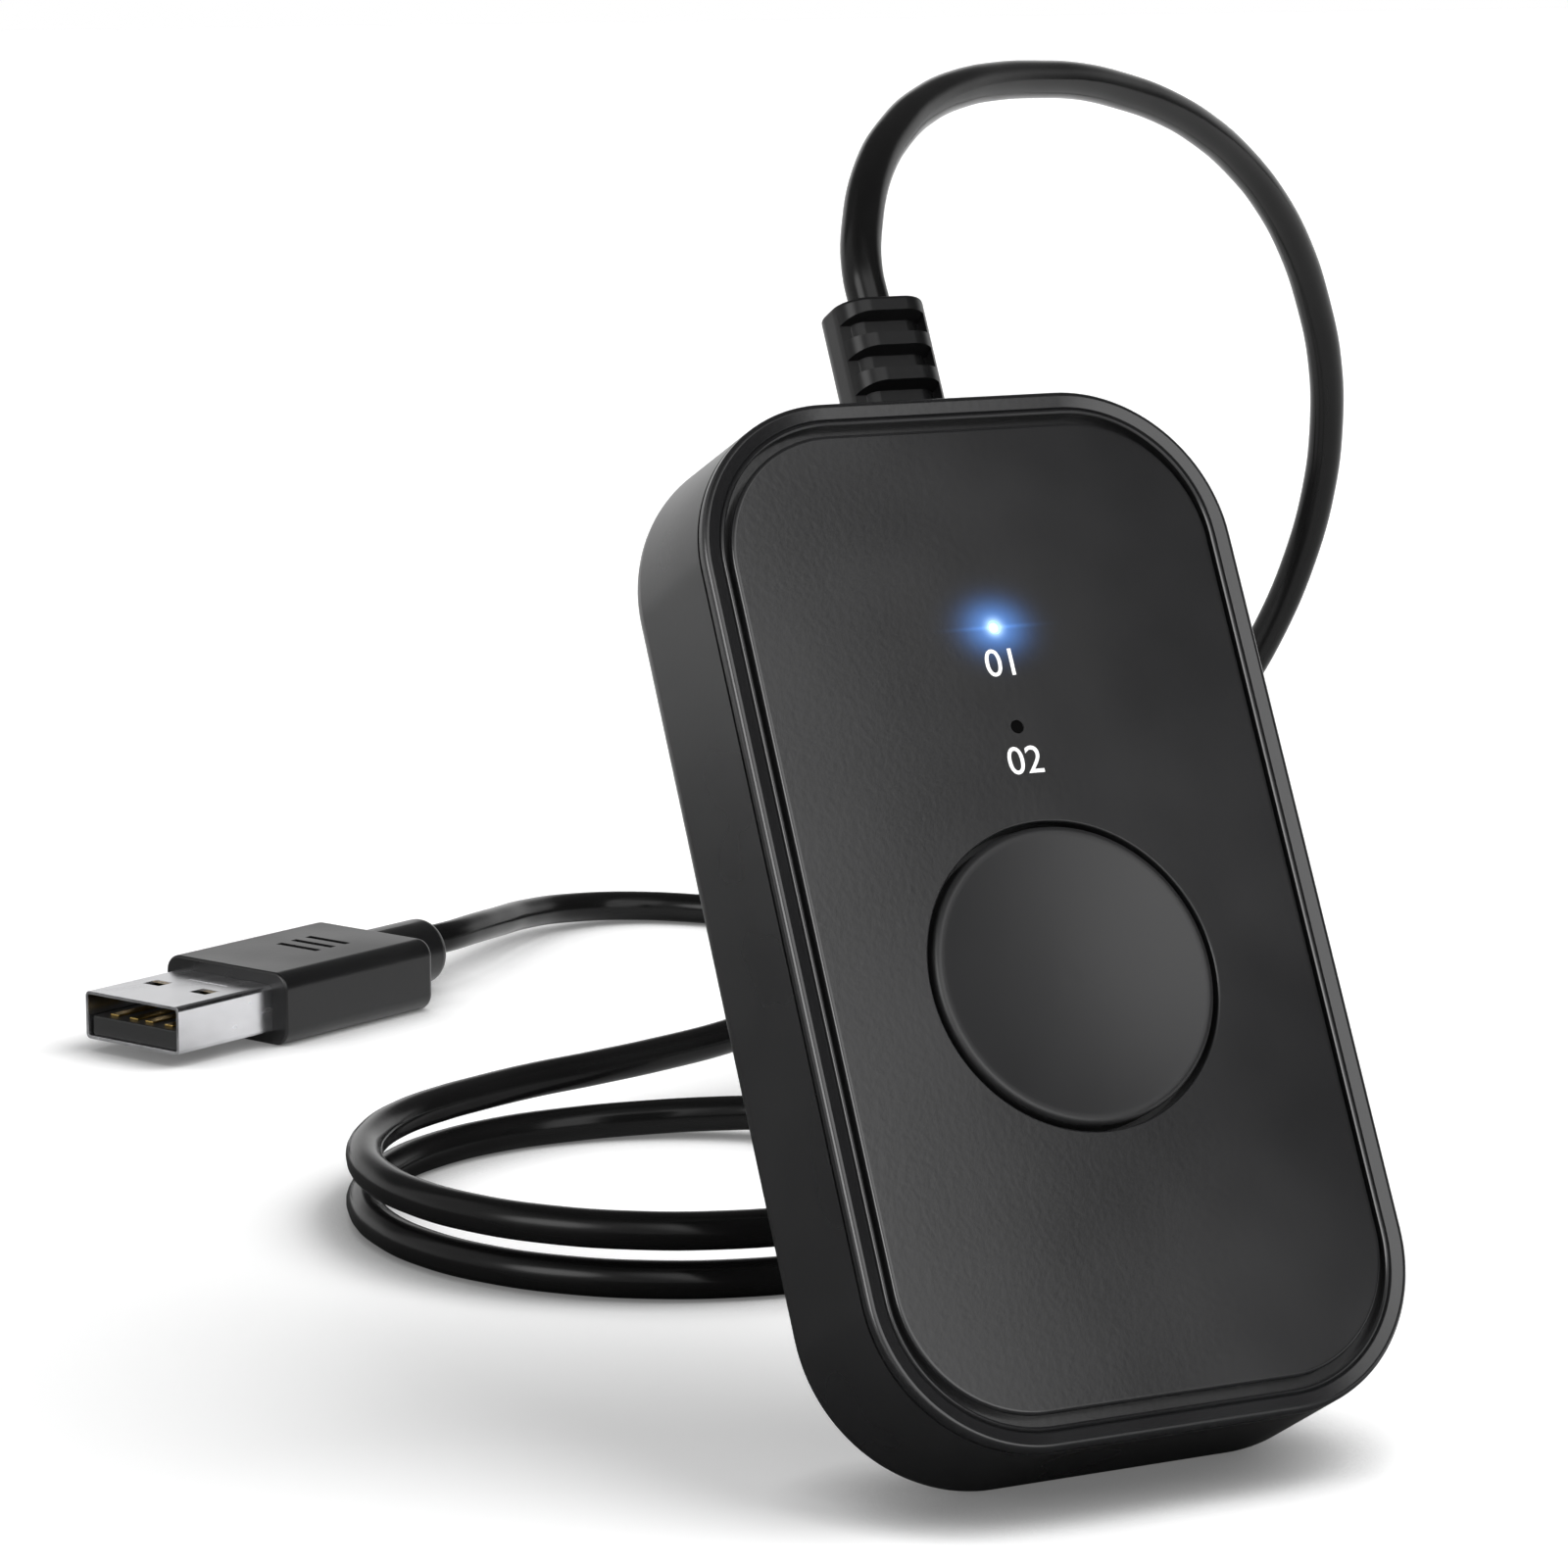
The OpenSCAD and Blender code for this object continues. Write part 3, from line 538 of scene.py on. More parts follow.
FINISHES = {
    "case_plastic": lambda: moulded("Housing plastic", chosen("case"), 0.3, specular=0.46),
    "frame_plastic": lambda: moulded("Frame plastic", chosen("rim"), 0.2, spread=0.03),
    "panel_plastic": lambda: panel_finish(),
    "button_plastic": lambda: moulded(
        "Button plastic", chosen("panel"), 0.4, spread=0.03, specular=0.42
    ),
    "foot_rubber": lambda: moulded(
        "Foot rubber", (0.012, 0.012, 0.012), 0.8, texture=1.2, height=0.02
    ),
    "boot_rubber": lambda: moulded(
        "Strain relief rubber", (0.006, 0.006, 0.0062), 0.3, texture=1.6, height=0.005, specular=0.2
    ),
    "cord_jacket": lambda: moulded(
        "Cord jacket", chosen("cord"), 0.2, texture=0.9, height=0.003, specular=0.165
    ),
    "grip_plastic": lambda: moulded(
        "Plug grip plastic", (0.006, 0.006, 0.0062), 0.32, texture=1.8, height=0.006, specular=0.42
    ),
    "shell_steel": lambda: plated("Plated shell", (0.78, 0.78, 0.8), 0.24, stretch=(0.3, 1.5, 1.5)),
    "tongue_plastic": lambda: moulded("Tongue plastic", (0.012, 0.012, 0.012), 0.5),
    "contact_gold": lambda: plated("Gold contacts", (0.9, 0.62, 0.2), 0.22, stretch=(1, 6, 1)),
    "board_laminate": lambda: moulded("Solder mask", (0.03, 0.16, 0.07), 0.35, vary=0.3),
    "chip_resin": lambda: moulded(
        "Chip resin", (0.03, 0.03, 0.032), 0.6, texture=3.0, height=0.01
    ),
    "small_parts": lambda: moulded("Board parts", (0.35, 0.26, 0.16), 0.5),
    "zinc_steel": lambda: plated("Zinc plated steel", (0.6, 0.6, 0.62), 0.35),
    "spring_steel": lambda: plated("Spring steel", (0.7, 0.7, 0.68), 0.3),
    "blue_lamp": lambda: lamp_finish("Blue lamp", (0.25, 0.6, 1.0)),
    "white_lamp": lambda: moulded("Unlit lamp", (0.85, 0.85, 0.8), 0.3),
    "light_pipe": lambda: moulded("Light pipe", (0.8, 0.85, 0.88), 0.1, height=0.001),
    "white_plastic": lambda: moulded("White connector", (0.8, 0.79, 0.75), 0.5),
    "red_wire": lambda: moulded("Red wire", (0.6, 0.04, 0.03), 0.35),
    "white_wire": lambda: moulded("White wire", (0.82, 0.82, 0.8), 0.35),
    "green_wire": lambda: moulded("Green wire", (0.03, 0.32, 0.09), 0.35),
    "black_wire": lambda: moulded("Black wire", (0.015, 0.015, 0.015), 0.35),
    "print_ink": lambda: ink_finish(),
}


def ink_finish():
    """White print with a painted glow, so that it stays white in the shade."""
    material = moulded("Printed ink", (0.85, 0.85, 0.85), 0.5, texture=4.0, height=0.002)
    shader = material.node_tree.nodes["Principled BSDF"]
    # Painted light: the print glows a little, so that it stays bright on the face where it lies in
    # shade
    shader.inputs["Emission Color"].default_value = (1, 1, 1, 1)
    shader.inputs["Emission Strength"].default_value = 0.3
    return material


def lamp_finish(name, colour, strength=8.0):
    """A lit lamp, whiter in places by a noise."""
    material, nodes, links, shader = new_material(name)
    core = grain(nodes, links, 0.8, "Lamp core")
    links.new(
        tinted(nodes, links, core, colour, [0.6 + 0.4 * c for c in colour], "Glow"),
        shader.inputs["Emission Color"],
    )
    shader.inputs["Base Color"].default_value = (*colour, 1)
    shader.inputs["Emission Strength"].default_value = strength
    return material


def case_point(x, y, z):
    """A point of the case's own frame, in metres on the desk."""
    return CASE_FRAME @ Vector((x, y, z))


def lamp_glow_and_painted_halo(material, spots, base=0.0):
    """Lets a material shine in soft spots round the upper lamp's place on the face: the lit
    window's own glow, and the painted glow of the lamp's light on the panel.

    Each spot has its half sizes across and up the face in millimetres and its
    strength, and the first is the one that is nearly white.
    """
    nodes, links = material.node_tree.nodes, material.node_tree.links
    shader = nodes["Principled BSDF"]
    coords = nodes.new("ShaderNodeTexCoord")
    mapping = nodes.new("ShaderNodeMapping")
    mapping.vector_type = "TEXTURE"
    mapping.inputs["Location"].default_value = case_point(0, LAMP_YS[0], CASE_T)
    mapping.inputs["Rotation"].default_value = (math.radians(90) - LEAN, 0, 0)
    mapping.inputs["Scale"].default_value = (MM, MM, MM)
    links.new(coords.outputs["Object"], mapping.inputs["Vector"])
    split = nodes.new("ShaderNodeSeparateXYZ")
    links.new(mapping.outputs["Vector"], split.inputs["Vector"])

    def squared(axis, size):
        """How far off the lamp's middle a point is along an axis, in half sizes, squared."""
        off = maths(nodes, links, "ABSOLUTE", split.outputs[axis])
        return maths(nodes, links, "POWER", maths(nodes, links, "DIVIDE", off, size), 2)

    def spot(across, along, strength):
        """A soft round spot, plain and times its strength."""
        far = maths(nodes, links, "ADD", squared("X", across), squared("Y", along))
        fall = maths(nodes, links, "EXPONENT", maths(nodes, links, "MULTIPLY", far, -1))
        return fall, maths(nodes, links, "MULTIPLY", fall, strength)

    white, total = spot(*spots[0])
    for values in spots[1:]:
        total = maths(nodes, links, "ADD", total, spot(*values)[1])
    light = nodes.new("ShaderNodeMix")
    light.data_type = "RGBA"
    light.inputs[6].default_value = (0.12, 0.36, 1.0, 1)
    light.inputs[7].default_value = (0.7, 0.95, 1.0, 1)
    links.new(white, light.inputs[0])
    links.new(light.outputs[2], shader.inputs["Emission Color"])
    links.new(maths(nodes, links, "ADD", total, base), shader.inputs["Emission Strength"])
    return material


def panel_finish():
    """The face panel's plastic, with a painted glow where the upper lamp's light spills on it."""
    material = moulded("Panel plastic", chosen("panel"), 0.18, spread=0.03)
    # Painted glow on the panel: a nearly white core, a blue halo and a faint sideways streak,
    # shining from the panel plastic itself
    return lamp_glow_and_painted_halo(material, [(0.6, 0.6, 1.1), (2.0, 1.6, 0.8), (2.2, 0.14, 0.3)])


def window_finish():
    """The lit window, bright in its middle."""
    material = moulded("Lit window", (0.25, 0.5, 0.9), 0.2)
    return lamp_glow_and_painted_halo(material, [(0.3, 0.3, 4.0)], base=1.0)


# Sizes and colours a user would change

class JigglerSizes(bpy.types.PropertyGroup):
    """Sizes, in metres"""

    button_diameter: bpy.props.FloatProperty(
        name="Button diameter", description="Across the round button",
        default=BUTTON_D * MM, unit="LENGTH",
    )
    cord_diameter: bpy.props.FloatProperty(
        name="Cord diameter", description="Outside of the cord's jacket",
        default=CORD_D * MM, unit="LENGTH",
    )
    numeral_height: bpy.props.FloatProperty(
        name="Numeral height", description="Height of the printed numerals",
        default=2.0 * MM, unit="LENGTH",
    )
    edge_softness: bpy.props.FloatProperty(
        name="Edge softness", description="Rounding of small moulded edges",
        default=0.12 * MM, unit="LENGTH",
    )


class JigglerColours(bpy.types.PropertyGroup):
    """Colours of the outside"""

    case: bpy.props.FloatVectorProperty(
        name="Case", description="Moulded case", subtype="COLOR", size=4,
        min=0, max=1, default=(0.012, 0.012, 0.0125, 1),
    )
    rim: bpy.props.FloatVectorProperty(
        name="Rim", description="Frame round the panel", subtype="COLOR", size=4,
        min=0, max=1, default=(0.01, 0.01, 0.0105, 1),
    )
    panel: bpy.props.FloatVectorProperty(
        name="Panel", description="Face panel and button", subtype="COLOR", size=4,
        min=0, max=1, default=(0.012, 0.012, 0.0125, 1),
    )
    cord: bpy.props.FloatVectorProperty(
        name="Cord", description="Cord jacket", subtype="COLOR", size=4,
        min=0, max=1, default=(0.005, 0.005, 0.005, 1),
    )


class JIGGLER_OT_camera(bpy.types.Operator):
    """Adds the camera at the product view"""

    bl_idname = "jiggler.camera"
    bl_label = "Camera"

    def execute(self, context):
        select_none()
        bpy.ops.object.camera_add(location=CAMERA_AT, rotation=(CAMERA_TILT, 0, CAMERA_TURN))
        camera = context.object
        camera.name = "Product view"
        camera.data.lens = LENS
        camera.data.sensor_width = SENSOR
        camera.data.clip_start = 0.01
        context.scene.camera = camera
        return {"FINISHED"}


def loop_dir(angle):
    """The way that the loops run at an angle."""
    a = math.radians(angle)
    return Vector((-math.sin(a), math.cos(a), 0))


def loop_point(angle):
    """A point of the loops: the upper turn comes down to the lower one behind the case."""
    a = math.radians(angle)
    t = min(1, max(0, (angle - DROP_START) / (DROP_END - DROP_START)))
    z = UPPER_Z - (UPPER_Z - LOWER_Z) * t * t * (3 - 2 * t)
    x, y = LOOP_CENTRE
    return Vector((x + LOOP_R * math.cos(a), y + LOOP_R * math.sin(a), z))


def cord_route():
    """All the cord outside the case, from the strain relief to the plug, in millimetres."""
    out = [case_point(0, BOOT_TOP, BOOT_Z) / MM, case_point(0, BOOT_TOP + CORD_D, BOOT_Z) / MM]
    out += [Vector(p) for p in RISER]
    out.append(loop_point(LOOP_START) - CORD_D * loop_dir(LOOP_START))
    out += [
        loop_point(LOOP_START + (LOOP_END - LOOP_START) * i / LOOP_STEPS)
        for i in range(LOOP_STEPS + 1)
    ]
    out.append(loop_point(LOOP_END) + CORD_D * loop_dir(LOOP_END))
    out += [Vector(p) for p in TAIL]
    x, y = PLUG_PLACE
    for along in (GRIP_L + NUB_L + CORD_D, GRIP_L + NUB_L):
        out.append(Vector((
            x + along * math.cos(PLUG_TURN), y + along * math.sin(PLUG_TURN), EXIT_Z
        )))
    return out


class JIGGLER_OT_cord(bpy.types.Operator):
    """Adds the cord, one unbroken curve from the strain relief to the plug"""

    bl_idname = "jiggler.cord"
    bl_label = "Cord"

    def execute(self, context):
        route = cord_route()
        select_none()
        bpy.ops.curve.primitive_bezier_curve_add()
        cord = context.object
        cord.name = "cord"
        curve = cord.data
        curve.splines.clear()
        line = curve.splines.new("BEZIER")
        line.bezier_points.add(len(route) - 1)
        for point, place in zip(line.bezier_points, route):
            point.co = place * MM
            point.handle_left_type = point.handle_right_type = "AUTO"
        curve.dimensions = "3D"
        curve.resolution_u = 6
        curve.bevel_depth = context.scene.jiggler_sizes.cord_diameter / 2
        curve.bevel_resolution = 8
        curve.use_fill_caps = True
        curve.materials.append(Finishes.get("cord_jacket"))
        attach(cord, "root")
        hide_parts("cord_riser", "cord_loops", "cord_tail")
        return {"FINISHED"}


class JIGGLER_OT_case(bpy.types.Operator):
    """Models the back shell"""

    bl_idname = "jiggler.case"
    bl_label = "Back shell"

    def execute(self, context):
        middle = (0.0, CASE_H / 2)
        foot = BACK_R + 0.1
        slope = DRAFT / (CASE_T - BACK_R)
        shell = block("back_shell_skin", CASE_W, CASE_H, CORNER_R, BACK_R, foot, 32, middle)
        rise = SPLIT_Z - SEAM - foot
        ledge = 10.7
        lip = 0.9
        corner = 0.8
        steps_on(shell, 1, [
            (slope * rise, rise), (SEAM_IN, 0), (0, SEAM), (WALL / 2 - SEAM_IN, 0),
            (0, -(SPLIT_Z - ledge)), (lip, 0), (0, -(ledge - BACK_WALL - corner)),
            (0.25, -0.55), (0.55, -0.25),
        ])
        steps_on(shell, -1, round_over(BACK_R, 12))
        bosses = [
            drum("boss", BOSS_D / 2, BACK_WALL - 0.2, BOSS_SPLIT, 48, place) for place in CORNERS
        ]
        combine(shell, bosses, "UNION")
        holes = []
        for place in CORNERS:
            holes.append(drum("recess", FOOT_D / 2 + 0.05, -1, FOOT_RECESS, 64, place))
            holes.append(drum("seat", 2.1, -1, 2.6, 48, place))
            holes.append(drum("hole", 1.15, -1, 8, 32, place))
        neck = block("neck", BOOT_W - 1.5, BOOT_T - 1.1, 1.65, CASE_H - 3 * WALL, CASE_H + WALL, 8)
        turn(neck, UP_THE_CASE)
        combine(shell, holes + [neck])
        finish(shell, CASE_FRAME, Finishes.get("case_plastic"), ["back_shell"])
        return {"FINISHED"}


class JIGGLER_OT_rim(bpy.types.Operator):
    """Models the front frame whose rim shows round the panel"""

    bl_idname = "jiggler.rim"
    bl_label = "Front frame"

    def execute(self, context):
        middle = (0.0, CASE_H / 2)
        slope = DRAFT / (CASE_T - BACK_R)
        low = SPLIT_Z + SEAM
        mid = low + 0.05
        drawn = slope * (low - BACK_R)
        rim = block(
            "front_frame_skin", CASE_W - 2 * drawn, CASE_H - 2 * drawn, CORNER_R - drawn,
            low, mid, 32, middle,
        )
        rise = CASE_T - EDGE_R - mid
        flat = 0.76
        dish = 0.15
        line = 0.16
        bead = 0.28
        # The wall, the edge, a shallow flat, a fine line, a bead and the drop beside the panel
        steps_on(rim, 1, [
            (slope * rise, rise), *round_over(EDGE_R, 6), (flat - 0.05, -dish), (0.05, -0.03),
            (line / 2, -line + 0.03), (line / 2, line - 0.03),
            *((bead * 0.25, up) for up in (0.05, 0.03, -0.03, -0.07)),
            (0, -(PANEL_T - dish - 0.05)),
        ])
        steps_on(rim, -1, [
            (SEAM_IN, 0), (0, SEAM), (WALL / 2 - SEAM_IN, 0), (0, SPLIT_Z - FLOOR_Z),
        ])
        bosses = [
            drum("boss", BOSS_D / 2, BOSS_SPLIT, FLOOR_Z + 0.2, 48, place) for place in CORNERS
        ]
        combine(rim, bosses, "UNION")
        below, above = FLOOR_Z - 1, PANEL_Z + 1
        holes = [drum("hole", BUTTON_D / 2 + BUTTON_GAP, below, above, 96, BUTTON_AT)]
        holes += [drum("pipe", 1.05, below, above, 32, (0, y)) for y in LAMP_YS]
        holes += [
            drum("pilot", 1.02, BOSS_SPLIT - 1, PANEL_Z - 0.6, 32, place) for place in CORNERS
        ]
        combine(rim, holes)
        finish(rim, CASE_FRAME, Finishes.get("frame_plastic"), ["front_frame"])
        return {"FINISHED"}


class JIGGLER_OT_panel(bpy.types.Operator):
    """Models the face panel and its printed numerals"""

    bl_idname = "jiggler.panel"
    bl_label = "Face panel"

    def execute(self, context):
        middle = (0.0, CASE_H / 2)
        edge = 0.3
        panel = block(
            "front_panel_skin", PANEL_W, PANEL_H, PANEL_R, PANEL_Z, CASE_T - edge, 32, middle
        )
        steps_on(panel, 1, round_over(edge, 5))
        r = BUTTON_D / 2 + BUTTON_GAP
        hole = drum("hole", r, PANEL_Z - 1, CASE_T - 0.14, 128, BUTTON_AT)
        edit(hole)
        pick_end(hole, 1)
        for grow, onward in ((0.01, 0.05), (0.035, 0.05), (0.06, 0.035), (0.04, 0.01), (0, 0.5)):
            bpy.ops.mesh.extrude_region_move(TRANSFORM_OT_translate={"value": (0, 0, onward)})
            size = (r + grow) / r
            bpy.ops.transform.resize(value=(size, size, 1), center_override=(0, BUTTON_Y, 0))
            r += grow
        bpy.ops.object.mode_set(mode="OBJECT")
        windows = [
            drum("window", WINDOW_D / 2, PANEL_Z - 1, CASE_T + 1, 32, (0, y)) for y in LAMP_YS
        ]
        combine(panel, [hole, *windows])
        finish(panel, CASE_FRAME, Finishes.get("panel_plastic"), ["front_panel"])
        height = context.scene.jiggler_sizes.numeral_height / MM
        proud = 0.015
        for text, y in (("01", 53.95), ("02", 46.8)):
            select_none()
            bpy.ops.object.text_add(location=(0, 0, 0))
            numeral = context.object
            numeral.name = "printed_numeral_" + text[-1]
            numeral.data.body = text
            numeral.data.align_x = "CENTER"
            numeral.data.size = height * 1.42
            numeral.data.extrude = proud
            bpy.ops.object.convert(target="MESH")
            turn(numeral, Matrix.Translation((0, y, CASE_T + proud)))
            finish(numeral, CASE_FRAME, Finishes.get("print_ink"))
        return {"FINISHED"}


class JIGGLER_OT_button(bpy.types.Operator):
    """Models the dished button cap with its flange, ribs and stem"""

    bl_idname = "jiggler.button"
    bl_label = "Button"

    def execute(self, context):
        r = context.scene.jiggler_sizes.button_diameter / MM / 2
        edge = 0.45
        skirt = 1.2
        flange_z1 = FLOOR_Z - 0.1
        flange_z0 = flange_z1 - 0.8
        dish = 0.9
        rim = r - 0.8
        dish_r = (rim ** 2 + dish ** 2) / (2 * dish)
        half = math.degrees(math.asin(rim / dish_r))
        cap = drum(
            "button_cap_skin", BUTTON_D / 2 + BUTTON_GAP + 1, flange_z0, flange_z1, 160, BUTTON_AT
        )
        count = 18
        a = [math.radians(half * (1 - i / count)) for i in range(count)]
        bowl = [
            (dish_r * (math.sin(p) - math.sin(q)), -dish_r * (math.cos(q) - math.cos(p)))
            for p, q in zip(a, a[1:])
        ]
        steps_on(cap, 1, [
            (BUTTON_GAP + 1, 0), (0, BUTTON_TOP - edge - flange_z1), *round_over(edge, 8),
            (0.8 - edge, 0), *bowl,
        ])
        roof = BUTTON_TOP - dish - 1
        combine(cap, [drum("hollow", r - skirt, flange_z0 - 1, roof, 96, BUTTON_AT)])
        stem = drum("stem", 2.2, 9.45, roof + 0.2, 48, BUTTON_AT)
        low, high = flange_z0 + 0.3, roof + 0.1
        reach = r - 1.1
        ribs = [
            box("rib", (-x, BUTTON_Y - y, low), (x, BUTTON_Y + y, high))
            for x, y in ((reach, 0.4), (0.4, reach))
        ]
        combine(cap, [stem, *ribs], "UNION")
        finish(
            cap, CASE_FRAME, Finishes.get("button_plastic"),
            ["button_cap"], "button",
        )
        return {"FINISHED"}


class JIGGLER_OT_strain_relief(bpy.types.Operator):
    """Models the slotted strain relief"""

    bl_idname = "jiggler.strain_relief"
    bl_label = "Strain relief"

    def execute(self, context):
        softness = context.scene.jiggler_sizes.edge_softness / MM
        start = CASE_H - DRAFT
        boot = block("strain_relief_skin", BOOT_W, BOOT_T, BOOT_R, start, BOOT_TOP - 0.3, 12)
        steps_on(boot, 1, round_over(0.3, 4))
        slots = []
        floor = BOOT_T / 2 - SLOT_DEPTH
        for i in range(3):
            z = BOOT_TOP - 1.5 - SLOT_W - i * SLOT_PITCH
            # The front slots open at the left side, the rear ones stay in the rear face
            for low, high, flare in (
                ((-BOOT_W, -BOOT_T, z), (BOOT_W / 2 - 0.75, -SLOT_IN, z + SLOT_W), 18),
                ((SPINE - BOOT_W / 2, SLOT_IN, z), (BOOT_W / 2 - SPINE, BOOT_T, z + SLOT_W), -18),
            ):
                cutter = box("slot", low, high)
                edit(cutter)
                pick_end(cutter, 1)
                bpy.ops.transform.rotate(
                    value=math.radians(flare), orient_axis="X",
                    center_override=(0, -floor if flare > 0 else floor, z + SLOT_W),
                )
                bpy.ops.object.mode_set(mode="OBJECT")
                core = block(
                    "core", BOOT_W - 0.8, 2 * floor, floor - 0.05, z - 2, z + SLOT_W + 3, 12
                )
                combine(cutter, [core])
                slots.append(cutter)
        combine(boot, slots)
        soften(boot, softness, 2)
        neck = block("neck", BOOT_W - 1.6, BOOT_T - 1.2, 1.6, 72.8, start + 0.3, 8)
        flange = block("flange", BOOT_W, BOOT_T, BOOT_R, 71.45, 72.85, 12)
        combine(boot, [neck, flange], "UNION")
        combine(boot, [drum("bore", CORD_D / 2 + 0.02, 60, BOOT_TOP + 1, 48)])
        turn(boot, UP_THE_CASE)
        finish(boot, CASE_FRAME, Finishes.get("boot_rubber"), ["strain_relief"])
        return {"FINISHED"}


class JIGGLER_OT_feet(bpy.types.Operator):
    """Models the four rubber feet"""

    bl_idname = "jiggler.feet"
    bl_label = "Feet"

    def execute(self, context):
        feet = []
        edge = 0.25
        for place in CORNERS:
            foot = drum("foot", FOOT_D / 2, FOOT_RECESS - FOOT_T + edge, FOOT_RECESS, 64, place)
            steps_on(foot, -1, [*round_over(edge, 4), (0.6, 0), (0.2, -0.12)])
            feet.append(foot)
        feet = join("rubber_feet_skin", feet)
        finish(feet, CASE_FRAME, Finishes.get("foot_rubber"), ["rubber_feet"])
        return {"FINISHED"}


class JIGGLER_OT_plug(bpy.types.Operator):
    """Models the plug: moulded grip, folded shell, tongue and contacts"""

    bl_idname = "jiggler.plug"
    bl_label = "Plug"

    def execute(self, context):
        lie = PLUG_FRAME @ Matrix.Translation((0, 0, GRIP_MID)) @ ALONG_PLUG
        rear = 0.8
        grip = block("plug_grip_skin", GRIP_W, GRIP_T, GRIP_R, 0.25, GRIP_L - rear, 12)
        steps_on(grip, 1, round_over(rear, 6))
        steps_on(grip, -1, round_over(0.25, 4))
        nub_edge = 1.3
        up = NUB_Z - GRIP_MID
        nub = drum("nub", NUB_D / 2, GRIP_L - 2, GRIP_L + NUB_L - nub_edge, 64, (0, up))
        steps_on(nub, 1, round_over(nub_edge, 8))
        combine(grip, [nub], "UNION")
        cuts = [block("pocket", SHELL_W + 0.02, SHELL_T + 0.02, 0.5, -1, SHELL_IN, 6)]
        for z in (9.5, 11.5, 13.5):
            cuts.append(box("line", (-2.6, GRIP_MID - 0.3, z), (2.6, GRIP_MID + 1, z + 0.8)))
        combine(grip, cuts)
        finish(grip, lie, Finishes.get("grip_plastic"), ["plug_grip"])

        shell = block("plug_shell_skin", SHELL_W, SHELL_T, 0.5, -SHELL_L, SHELL_IN, 6)
        seam = box("seam", (-3.1, SHELL_T / 2 - 0.06, -3.05), (1.9, SHELL_T, -2.9))
        inner = block(
            "inner", SHELL_W - 2 * SHEET, SHELL_T - 2 * SHEET, 0.2, -SHELL_L - 1, SHELL_IN + 1, 4
        )
        latch = -5.9
        holes = [
            box("hole", (x - 1.0, -GRIP_T, latch - 0.9), (x + 1.0, GRIP_T, latch + 0.9))
            for x in (-3.0, 3.0)
        ]
        combine(shell, [inner, seam, *holes])
        soften(shell, 0.07, 2)
        finish(shell, lie, Finishes.get("shell_steel"), ["plug_shell"])

        floor = -SHELL_T / 2 + SHEET + 0.01
        tongue = box(
            "plug_tongue_skin", (-SHELL_W / 2 + SHEET + 0.2, floor, -SHELL_L + 0.4),
            (SHELL_W / 2 - SHEET - 0.2, floor + TONGUE_T, SHELL_IN),
        )
        soften(tongue, 0.15, 2)
        finish(tongue, lie, Finishes.get("tongue_plastic"), ["plug_tongue"])
        contacts = []
        for x in CONTACT_YS:
            strip = box(
                "contact", (x - 0.5, floor + TONGUE_T + 0.01, -SHELL_L + 1.2),
                (x + 0.5, floor + TONGUE_T + 0.21, SHELL_IN),
            )
            soften(strip, 0.05, 2)
            contacts.append(strip)
        contacts = join("plug_contacts_skin", contacts)
        finish(contacts, lie, Finishes.get("contact_gold"), ["plug_contacts"])
        return {"FINISHED"}


class JIGGLER_OT_lamps(bpy.types.Operator):
    """Finishes the lamps and the light pipes in the windows"""

    bl_idname = "jiggler.lamps"
    bl_label = "Lamps"

    def execute(self, context):
        # The lower window is near black and hardly reflects: painted shade standing in for a dark
        # hole
        shaded_window = moulded("Window in painted shade", (0.001, 0.001, 0.001), 0.7, specular=0.05)
        for name, look in (("upper_light_pipe", window_finish()), ("lower_light_pipe", shaded_window)):
            materials = frame["nodes"][name].data.materials
            materials.clear()
            materials.append(look)
        return {"FINISHED"}


class JIGGLER_OT_insides(bpy.types.Operator):
    """Gives the parts inside the case their finishes"""

    bl_idname = "jiggler.insides"
    bl_label = "Inside parts"

    def execute(self, context):
        for name, node in frame["nodes"].items():
            if node.hide_render or name.endswith("light_pipe"):
                continue
            slot = node.data.materials[0].name.split(".")[0]
            node.data.materials.clear()
            node.data.materials.append(Finishes.get(slot))
        return {"FINISHED"}


